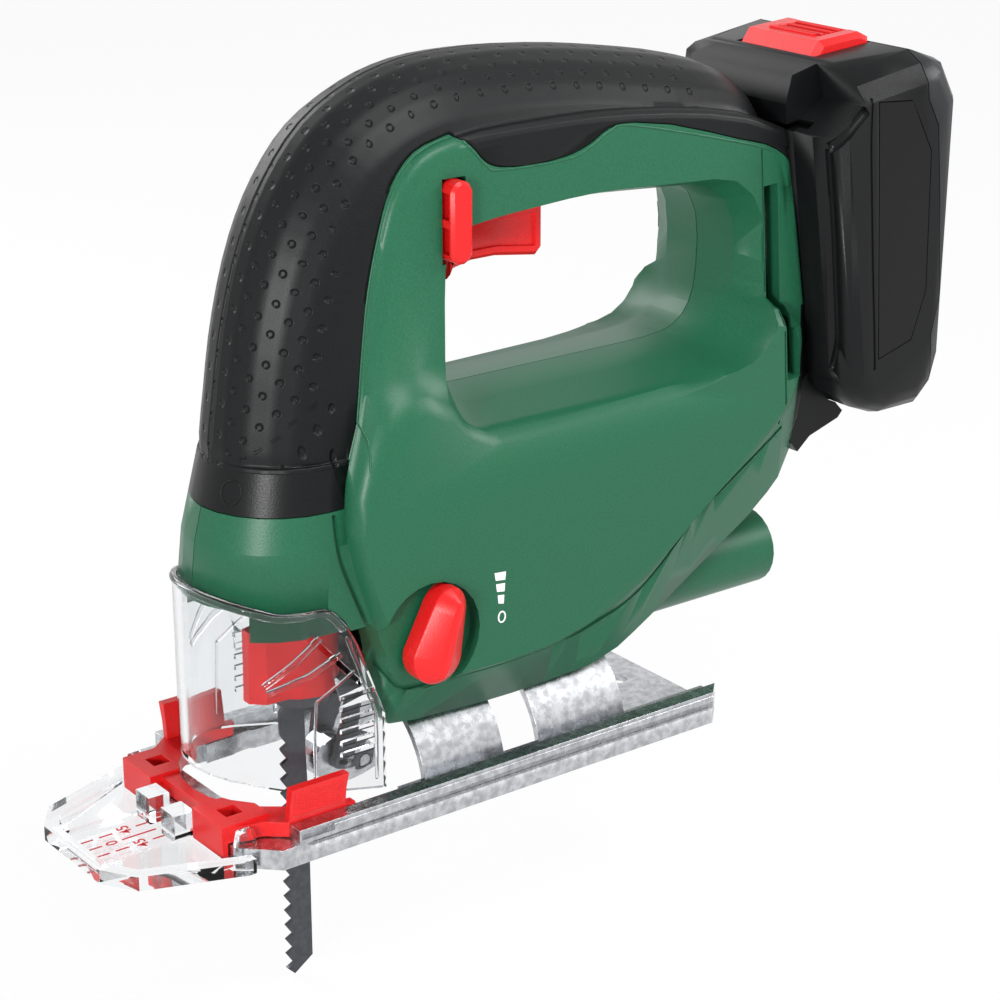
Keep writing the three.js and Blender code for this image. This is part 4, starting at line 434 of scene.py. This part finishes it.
soft_links.new(soft_nodes["relief"].outputs["Normal"], dimple.inputs["Normal"])
soft_links.new(dimple.outputs["Normal"], soft_nodes["Principled BSDF"].inputs["Normal"])


def girth_map(piece, half_width, rounding):
    spots = [(v.co.x, v.co.z) for v in piece.data.vertices]
    hull = [Vector(spots[i]) for i in convex_hull_2d(spots)]
    gaps = [(hull[i] - hull[i - 1]).length for i in range(len(hull))]
    start = gaps.index(max(gaps))
    ridge = hull[start:] + hull[:start]
    if ridge[0].x < ridge[-1].x:
        ridge.reverse()
    runs = [0.0]
    for a, b in zip(ridge, ridge[1:]):
        runs.append(runs[-1] + (b - a).length)
    places = []
    for vertex in piece.data.vertices:
        at = Vector((vertex.co.x, vertex.co.z))
        best = None
        for i, (a, b) in enumerate(zip(ridge, ridge[1:])):
            along = max(0.0, min(1.0, (at - a).dot(b - a) / (b - a).length_squared))
            gap = (at - a.lerp(b, along)).length
            if best is None or gap < best[0]:
                best = (gap, runs[i] + along * (b - a).length)
        turn = math.atan2(abs(vertex.co.y) / half_width, max(0.0, 1 - best[0] / rounding))
        places.append((best[1], math.copysign(turn * (half_width + rounding) / 2, vertex.co.y)))
    layer = piece.data.uv_layers.new(name="girth")
    for loop in piece.data.loops:
        layer.data[loop.index].uv = places[loop.vertex_index]


for hand in ("left", "right"):
    grip = smooth_copy(f"{hand}_grip", f"{hand}_soft_grip", 55, 3)
    while grip.data.uv_layers:
        grip.data.uv_layers.remove(grip.data.uv_layers[0])
    girth_map(grip, grip_half_width, grip_rounding)
    dressed(grip, "tool_body", "soft_grip", soft, f"{hand}_grip")

# Black collar under the grip: one plastic band that is pushed over the nose of both halves.
# A small blank ring is moulded on its front, a little to the left.
ring_points, ring_width, ring_ahead = 28, 0.45, 60
ring_middle, ring_reach = (9, 91.5), (2.7, 3)


def joined(piece, *others):
    pick(*others, piece)
    bpy.ops.object.join()
    return piece


collar = smooth_copy("nose_collar", "nose_band")
collar_tree = BVHTree.FromObject(collar, bpy.context.evaluated_depsgraph_get())
ring = []
for i in range(ring_points):
    turn = math.tau * i / ring_points
    y = ring_middle[0] + ring_reach[0] * math.cos(turn)
    z = ring_middle[1] + ring_reach[1] * math.sin(turn)
    ring.append(collar_tree.ray_cast(Vector((ring_ahead * MM, y * MM, z * MM)), Vector((-1, 0, 0)))[0])
collar = joined(collar, smoothed(wire("ring_mark", ring, ring_width, closed=True), wire_angle))
dressed(collar, "tool_body", "black_plastic", black, "nose_collar")

# Battery: an inner case of black plastic, closed by an outer shell behind a zigzag seam, with
# two polished bare panels. A sunk crease frames each raised cheek, and a notch opens at its top.
shell_grey = plastic("shell_grey", (0.016, 0.017, 0.019), 0.34, specular=0.2)
gloss = plastic("gloss_black", (0.003, 0.003, 0.0035), 0.08, 400, 0.00001, specular=0.22)
cheek_front = [
    (-150.3, 158.6), (-152.2, 146), (-154.2, 132), (-156.0, 118), (-157.8, 104), (-158.6, 94),
]
cheek_notch = [(-150.3, 158.6), (-153.6, 161.6), (-157.4, 165), (-161.4, 168.2)]
panel_crease = [
    (-163.2, 171), (-163.4, 160), (-164.6, 145), (-166.4, 125), (-168.4, 105), (-169.4, 93.5),
]
case_angle = 42
case = smooth_copy("battery_inner_case", "battery_inner_case_skin", case_angle)
for side in (1, -1):
    for points, width, rise in ((cheek_front, 2.2, 0.1), (cheek_notch, 3.6, 0.3), (panel_crease, 1.0, -0.1)):
        crease = wire("crease", laid_on(case, eased(points), side, rise), width)
        case = carved(case, crease, angle=case_angle)
dressed(case, "battery_pack", "black_plastic", black, "battery_inner_case")
outer_case = smooth_copy("battery_outer_case", "battery_outer_case_skin", case_angle)
dressed(outer_case, "battery_pack", "black_plastic", shell_grey, "battery_outer_case")
for hand in ("left", "right"):
    panel = smooth_copy(f"{hand}_label_panel", f"{hand}_bare_label", 20)
    dressed(panel, "battery_pack", "gloss_black", gloss, f"{hand}_label_panel")

# Battery rail, motor end bell and switch: black mouldings held between the housing halves.
# Only the rail shows, behind the handle, when the battery slides up and off it.
for node in ("battery_mount", "motor_end_bell", "switch_module"):
    moulding = smooth_copy(node, node + "_skin")
    dressed(moulding, "tool_body", "black_plastic", black, node)

# Blade release lever: a red plastic moulding around the plunger, seen through the guard.
# It turns on the plunger's axis to open the blade holder.
red = plastic("red_plastic", (0.64, 0.010, 0.011), 0.33, specular=0.3)
lever = smooth_copy("release_lever", "release_lever_skin", 20)
dressed(lever, "clamp_lever", "red_plastic", red, "release_lever")

# Release button of the battery: red plastic, sprung in the top of the inner case.
# A sunk field on its face holds four finger ribs.
button_angle, field_border, field_wall, field_depth = 30, 3.6, 0.3, 0.6
rib_count, rib_pitch, first_rib, rib_half_length, rib_width = 4, 3.3, -178.2, 9, 1.3
above = 0.3  # a place well over the tool, from which lines are laid on top faces


def in_faces(piece, test):
    pick(piece)
    bpy.ops.object.mode_set(mode="EDIT")
    bpy.ops.mesh.select_all(action="DESELECT")
    bpy.ops.mesh.select_mode(type="FACE")
    bpy.ops.object.mode_set(mode="OBJECT")
    for face in piece.data.polygons:
        face.select = bool(test(face.center / MM, face.normal))
    bpy.ops.object.mode_set(mode="EDIT")


def out_of_faces():
    bpy.ops.mesh.select_all(action="DESELECT")
    bpy.ops.object.mode_set(mode="OBJECT")


def sunk_field(piece, border, wall, depth, test):
    in_faces(piece, test)
    bpy.ops.mesh.inset(thickness=border * MM, depth=0)
    bpy.ops.mesh.inset(thickness=wall * MM, depth=-depth * MM)
    out_of_faces()


button = smooth_copy("battery_button", "battery_button_skin", button_angle)
sunk_field(button, field_border, field_wall, field_depth, lambda at, way: way.z > 0.8)
button_tree = BVHTree.FromObject(button, bpy.context.evaluated_depsgraph_get())
for i in range(rib_count):
    x = first_rib + rib_pitch * i
    ends = []
    for y in (-rib_half_length, rib_half_length):
        ends.append(button_tree.ray_cast(Vector((x * MM, y * MM, above)), Vector((0, 0, -1)))[0])
    button = carved(button, wire("finger_rib", ends, rib_width), "UNION", button_angle)
dressed(button, "pack_button", "red_plastic", red, "battery_button")

# Red plastic frame of the cut guide, which clips into slots in the sole's sides.
# Its edges are rounded, and its two wings carry fine grip ribs.
guide_angle, guide_edge = 30, 0.35
wing_rib_count, wing_rib_pitch, lowest_wing_rib = 12, 0.62, 11.4
wing_rib_ends, wing_rib_width, wing_rib_sink = (8.2, 22.8), 0.42, 0.05
beside = 0.06  # a place well clear of the guide's wings
level_wing = 0.001


def edges_rounded(piece, width, segments=2, sharp=35):
    pick(piece)
    rounding = piece.modifiers.new("edge_round", "BEVEL")
    rounding.width = width * MM
    rounding.segments = segments
    rounding.limit_method = "ANGLE"
    rounding.angle_limit = math.radians(sharp)
    bpy.ops.object.modifier_apply(modifier="edge_round")


guide = smooth_copy("guide_frame", "guide_frame_skin", guide_angle)
edges_rounded(guide, guide_edge, sharp=50)
guide_tree = BVHTree.FromObject(guide, bpy.context.evaluated_depsgraph_get())
for side in (1, -1):
    for i in range(wing_rib_count):
        z = lowest_wing_rib + wing_rib_pitch * i
        ends = []
        for x in wing_rib_ends:
            start = Vector((x * MM, beside * side, z * MM))
            ends.append(guide_tree.ray_cast(start, Vector((0, -side, 0)))[0])
        if all(ends) and abs(ends[0].y - ends[1].y) < level_wing:
            sunk_ends = [end + Vector((0, -wing_rib_sink * side * MM, 0)) for end in ends]
            guide = carved(guide, wire("grip_rib", sunk_ends, wing_rib_width), "UNION", guide_angle)
dressed(guide, "cut_guide", "red_plastic", red, "guide_frame")

# Trigger: a red plastic moulding that slides in the handle against the switch.
# Each flank has a sunk, finely grained field.
trigger = smooth_copy("trigger", "trigger_skin", 30)
sunk_field(trigger, 1.5, 0.3, 0.7, lambda at, way: abs(way.y) > 0.98)
smoothed(trigger, 30)
dressed(trigger, "switch_trigger", "red_plastic", red, "trigger")

# Lock-off bar: a red plastic slider that passes through the handle above the trigger.
# Two square pockets lighten the front of each of its ends.
pocket_size, pocket_front, pocket_side = (7, 3.6, 6.8), -31.4, 23.1
bar = smooth_copy("lock_off_bar", "lock_off_bar_skin", 30)
for pocket_foot in (146.0, 154.8):
    for side in (1, -1):
        pocket_middle = (pocket_front, pocket_side * side, pocket_foot + pocket_size[2] / 2)
        bpy.ops.mesh.primitive_cube_add(
            size=1,
            location=[place * MM for place in pocket_middle],
            scale=[length * MM for length in pocket_size],
        )
        pocket = bpy.context.object
        bpy.ops.object.transform_apply(location=True, rotation=True, scale=True)
        bar = carved(bar, pocket, angle=30)
dressed(bar, "lock_bar", "red_plastic", red, "lock_off_bar")

# Orbit knob: a red plastic grip, roof-shaped with one ridge, on a round base.
# It is pressed on the end of the orbit shaft, on the left flank.
knob_radius, knob_base, knob_roof = 7.6 * MM, 5.2 * MM, 4.2 * MM
knob_tail, knob_tail_share, knob_heel, knob_edge = 9.5 * MM, 0.72, 1.5 * MM, 0.9
ridge_share = (0.62, 0.16, 1)
knob_place = (-21.4, 30.6, 45.5)
knob_foot, knob_top = (-19.4, 39), (-26.6, 62)  # where the grip's ends point on the flank
knob_turn = math.atan2(knob_top[1] - knob_foot[1], knob_top[0] - knob_foot[0])
bpy.ops.mesh.primitive_cylinder_add(vertices=48, radius=knob_radius, depth=knob_base, location=(0, 0, 0))
knob = bpy.context.object
knob.name = knob.data.name = "orbit_knob_skin"
in_faces(knob, lambda at, way: way.z > 0.9)
bpy.ops.mesh.extrude_region_move(TRANSFORM_OT_translate={"value": (0, 0, knob_roof)})
bpy.ops.transform.resize(value=ridge_share, center_override=(0, 0, 0))
out_of_faces()
for vertex in knob.data.vertices:
    if vertex.co.x > 0:
        vertex.co.x += knob_tail
        vertex.co.y *= knob_tail_share if vertex.co.z < 3 * MM else 1
    else:
        vertex.co.x -= knob_heel
edges_rounded(knob, knob_edge, 3, 25)
along, aside = math.cos(knob_turn), math.sin(knob_turn)
upright = Matrix(((along, aside, 0, 0), (0, 0, 1, 0), (aside, -along, 0, 0), (0, 0, 0, 1)))
knob.data.transform(Matrix.Translation(Vector(knob_place) * MM) @ upright)
smoothed(knob, 40)
dressed(knob, "orbit_selector", "red_plastic", red, "orbit_knob")

# Scale beside the knob: white print on the left housing half.
# A wedge in three steps grows upwards over a plain nought.
scale_x, nought_height, nought_reach, nought_width, print_rise = -43.4, 48.4, (1.1, 1.5), 0.45, 0.04
wedge_left_share, wedge_top_slope, wedge_foot_slope, nought_points = 0.55, 0.3, 0.4, 24
wedge_steps = ((61.2, 58.6, 2.4, 2.0), (58.0, 55.4, 1.9, 1.6), (54.8, 52.0, 1.4, 1.1))
white = plastic("white_print", (0.8, 0.8, 0.8), 0.5)
scale_pieces = []
for top, foot, wide, thin in wedge_steps:
    corners = [
        (scale_x + wide, top), (scale_x - wide * wedge_left_share, top - wedge_top_slope),
        (scale_x - thin * wedge_left_share, foot), (scale_x + thin, foot + wedge_foot_slope),
    ]
    skin = laid_on(shells["left"], corners, 1, print_rise)
    bpy.ops.mesh.primitive_plane_add(size=1)
    step = bpy.context.object
    for vertex, spot in zip(step.data.vertices, (skin[0], skin[1], skin[3], skin[2])):
        vertex.co = spot
    scale_pieces.append(step)
nought = []
for i in range(nought_points):
    turn = math.tau * i / nought_points
    x = scale_x + nought_reach[0] * math.cos(turn)
    nought.append((x, nought_height + nought_reach[1] * math.sin(turn)))
scale_pieces.append(wire("nought", laid_on(shells["left"], nought), nought_width, closed=True))
scale = joined(*scale_pieces)
scale.name = scale.data.name = "orbit_scale"
dressed(scale, "tool_body", "gloss_black", white)

# Chip guard: a bowl of clear moulded plastic in front of the blade, which slides forward a little.
# It has a thick rim and edge, crossed ribs on each flank and a pressed border.
rim_from, rim_share, rim_drop, rim_width = 60.4, 0.985, 0.6, 2.4
rim_end, rim_open = (2.5, 25, 55), 2
rim_wall, rim_step = 2.5, 9  # how far off a point of the rim its upper edge is looked for
guard_edge_width, rib_rise = 1.1, -0.3
shoulder = [(2.0, 52.8), (0.6, 49.1), (-1.7, 43), (-5.5, 32.2), (-6.6, 27.6), (-6.6, 10.8)]
guard_ribs = (
    (((23.0, 42.6), (16.5, 48.3), (9.4, 54.3)), 2.0),
    (((22.4, 40.6), (12.5, 44.6), (3.6, 48.4)), 2.0),
    (((11.0, 36.9), (5, 40), (-0.6, 42.8)), 0.9),
    (((11.0, 36.9), (11.6, 27), (11.8, 16.1)), 0.9),
)
clear = bpy.data.materials.new("clear_plastic")
clear.use_nodes = True
clear_shader = clear.node_tree.nodes["Principled BSDF"]
# Its slight grey tint is painted shade, which greys the clear guard and window as shade would.
clear_shader.inputs["Base Color"].default_value = (0.9, 0.915, 0.925, 1)
clear_shader.inputs["Roughness"].default_value = 0.03
clear_shader.inputs["Transmission Weight"].default_value = 1
clear_shader.inputs["IOR"].default_value = 1.3
guard = smooth_copy("chip_guard", "chip_guard_skin", 30)
rim_spots = [v.co.copy() for v in guard.data.vertices if v.co.z > rim_from * MM]
rim_run = [rim_spots[i] for i in convex_hull_2d([(v.x, v.y) for v in rim_spots])]
rim_run = [p for p in rim_run if p.x > rim_open * MM]
rim_run.sort(key=lambda p: math.atan2(p.y, p.x))
rim_line = [Vector(rim_end) * MM]
rim_line[0].y *= -1
for p in rim_run:
    over_it = [v for v in rim_spots if max(abs(v.x - p.x), abs(v.y - p.y)) < rim_wall * MM]
    top = max(v.z for v in over_it if (v - p).length < rim_step * MM)
    rim_line.append((p.x * rim_share, p.y * rim_share, top - rim_drop * MM))
rim_line.append(Vector(rim_end) * MM)
extras = [wire("rim", eased(rim_line, 3), rim_width)]
for side in (1, -1):
    extras.append(wire("guard_edge", laid_on(guard, eased(shoulder, 3), side), guard_edge_width))
    for points, width in guard_ribs:
        extras.append(wire("guard_rib", laid_on(guard, points, side, rib_rise), width))
for extra in extras:
    smoothed(extra, wire_angle)
guard = joined(guard, *extras)
dressed(guard, "guard", "clear_plastic", clear, "chip_guard")

# Sight window of the cut guide: a clear plastic plate that is clipped into the red frame.
# Two tapered lugs hold it there, at its rear corners.
lug_back, lug_front, lug_inner, lug_outer, lug_foot, lug_top = 31.5, 38.2, 25.4, 29.2, 2.0, 9.6
lug_taper_share, lug_lean = (0.6, 0.7, 1), 34.4


def block(name, low, high):
    low, high = Vector(low) * MM, Vector(high) * MM
    bpy.ops.mesh.primitive_cube_add(size=1, location=(low + high) / 2, scale=high - low)
    brick = bpy.context.object
    brick.name = brick.data.name = name
    bpy.ops.object.transform_apply(location=True, rotation=True, scale=True)
    return brick


window = smooth_copy("sight_window", "sight_window_skin", 30)
for side in (1, -1):
    low_y, high_y = sorted((lug_inner * side, lug_outer * side))
    lug = block("clear_lug", (lug_back, low_y, lug_foot), (lug_front, high_y, lug_top))
    in_faces(lug, lambda at, way: way.z > 0.9)
    lug_middle = (lug_lean * MM, (lug_inner + lug_outer) / 2 * side * MM, 0)
    bpy.ops.transform.resize(value=lug_taper_share, center_override=lug_middle)
    out_of_faces()
    edges_rounded(lug, 0.5)
    window = joined(window, lug)
dressed(window, "cut_guide", "clear_plastic", clear, "sight_window")

# Marks on the window: three setting lines and the angles 0 and 45, printed in red.
# The lines break where the angles stand, and end before the plate's inner lugs.
mark_rise, line_half_width, mark_sink, mark_height = 0.06, 0.28, 0.05, 0.03
figure_size, figure_weight = 4.4, 0.05
window_tree = BVHTree.FromObject(window, bpy.context.evaluated_depsgraph_get())


def on_window(x, y):
    hit = window_tree.ray_cast(Vector((x * MM, y * MM, 0.05)), Vector((0, 0, -1)))[0]
    return hit.z + mark_rise * MM


red_ink = plastic("red_print", (0.5, 0.012, 0.02), 0.45)
marks = []
outer_runs = ((64.8, 60.6), (58.9, 55), (48.2, 44.8))
for y, runs in ((0, ((65.2, 60.4), (54.6, 44.8))), (-4.4, outer_runs), (4.4, outer_runs)):
    for front, back in runs:
        height = on_window((front + back) / 2, y) / MM
        low_corner = (back, y - line_half_width, height - mark_sink)
        marks.append(block("line", low_corner, (front, y + line_half_width, height + mark_height)))
for word, x, y in (("0", 57.5, 0), ("45", 51.4, -4.4), ("45", 51.4, 4.4)):
    bpy.ops.object.text_add(location=(0, 0, 0))
    figure = bpy.context.object
    figure.data.body = word
    figure.data.size = figure_size * MM
    figure.data.align_x = "CENTER"
    figure.data.align_y = "CENTER"
    figure.data.offset = figure_weight * MM
    figure.data.extrude = mark_height * MM
    pick(figure)
    bpy.ops.object.convert(target="MESH")
    forward = Matrix(((0, 1, 0, x * MM), (-1, 0, 0, y * MM), (0, 0, 1, on_window(x, y)), (0, 0, 0, 1)))
    figure.data.transform(forward)
    marks.append(figure)
marking = joined(*marks)
marking.name = marking.data.name = "window_marks"
dressed(marking, "cut_guide", "red_plastic", red_ink)

# Sole plate: galvanised sheet steel, pressed, with its sides turned up and rolled.
# Two grooves run along each side, and a slot near the front takes the guide's clips.
sole_side, groove_reach = 36.1, (20, -117)
rolled_grooves = ((4.9, 1.3), (8.3, 0.8))  # height and width
clip_back, clip_front, clip_foot, clip_top, clip_inner, clip_outer = 13.6, 23.4, 6.6, 8.9, 34, 38


def metal(name, colour, roughness, grain=700, spread=0.12):
    look = plastic(name, colour, roughness, grain, 0.00002, spread)
    look.node_tree.nodes["Principled BSDF"].inputs["Metallic"].default_value = 1
    return look


steel = metal("galvanised_steel", (0.5, 0.51, 0.53), 0.27, 420, 0.2)
sole = smooth_copy("sole_plate", "sole_plate_skin")
edges_rounded(sole, 0.5, sharp=50)
for side in (1, -1):
    for z, width in rolled_grooves:
        run = [Vector((x * MM, sole_side * side * MM, z * MM)) for x in groove_reach]
        sole = carved(sole, wire("rolled_groove", run, width))
    low_y, high_y = sorted((clip_inner * side, clip_outer * side))
    sole = carved(sole, block("clip_slot", (clip_back, low_y, clip_foot), (clip_front, high_y, clip_top)))
dressed(sole, "sole", "steel", steel, "sole_plate")

# Saw blade and its holder: hardened steel, dark from its heat treatment.
# The holder is pressed on the plunger's foot and grips the blade's shank.
dark = metal("dark_steel", (0.09, 0.095, 0.105), 0.4)
for node in ("saw_blade", "blade_clamp"):
    dressed(smooth_copy(node, node + "_skin"), "plunger", "dark_steel", dark, node)

# Six housing screws of dark steel, driven in from the right.
# Each has a pan head with a cross recess.
recess_long, recess_wide, recess_depth, recess_clear, screw_count = 1.9, 0.42, 1.1, 1, 6


def crossed_screw(node):
    screw = smooth_copy(node, node + "_skin", 30)
    places = [v.co for v in screw.data.vertices]
    x, z = [(min(p[i] for p in places) + max(p[i] for p in places)) / 2 / MM for i in (0, 2)]
    face = min(p.y for p in places) / MM
    for reach, rise in ((recess_long, recess_wide), (recess_wide, recess_long)):
        low, high = (x - reach, face - recess_clear, z - rise), (x + reach, face + recess_depth, z + rise)
        screw = carved(screw, block("recess", low, high), angle=30)
    return screw


for i in range(1, screw_count + 1):
    screw_node = f"housing_screw_{i}"
    dressed(crossed_screw(screw_node), "tool_body", "dark_steel", dark, screw_node)

# Works inside the tool: steel shafts and gears, bronze bushes, the copper winding, two boards
# and the cells in their blue sleeve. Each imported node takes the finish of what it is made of.
finish_of = {
    "steel": steel,
    "dark_steel": dark,
    "bronze": metal("bronze", (0.6, 0.4, 0.17), 0.35),
    "winding": metal("winding", (0.5, 0.2, 0.09), 0.4, 3000),
    "board": plastic("board", (0.02, 0.13, 0.05), 0.4),
    "cell": plastic("cell_sleeve", (0.05, 0.14, 0.32), 0.3),
    "black_plastic": black,
    "green_plastic": green,
    "red_plastic": red,
    "clear_plastic": clear,
    "gloss_black": gloss,
    "soft_grip": soft,
}
for entry in frame["record"]["subparts"]:
    node = frame["nodes"][entry["node"]]
    node.data.materials.clear()
    node.data.materials.append(finish_of[entry["material_slot"]])
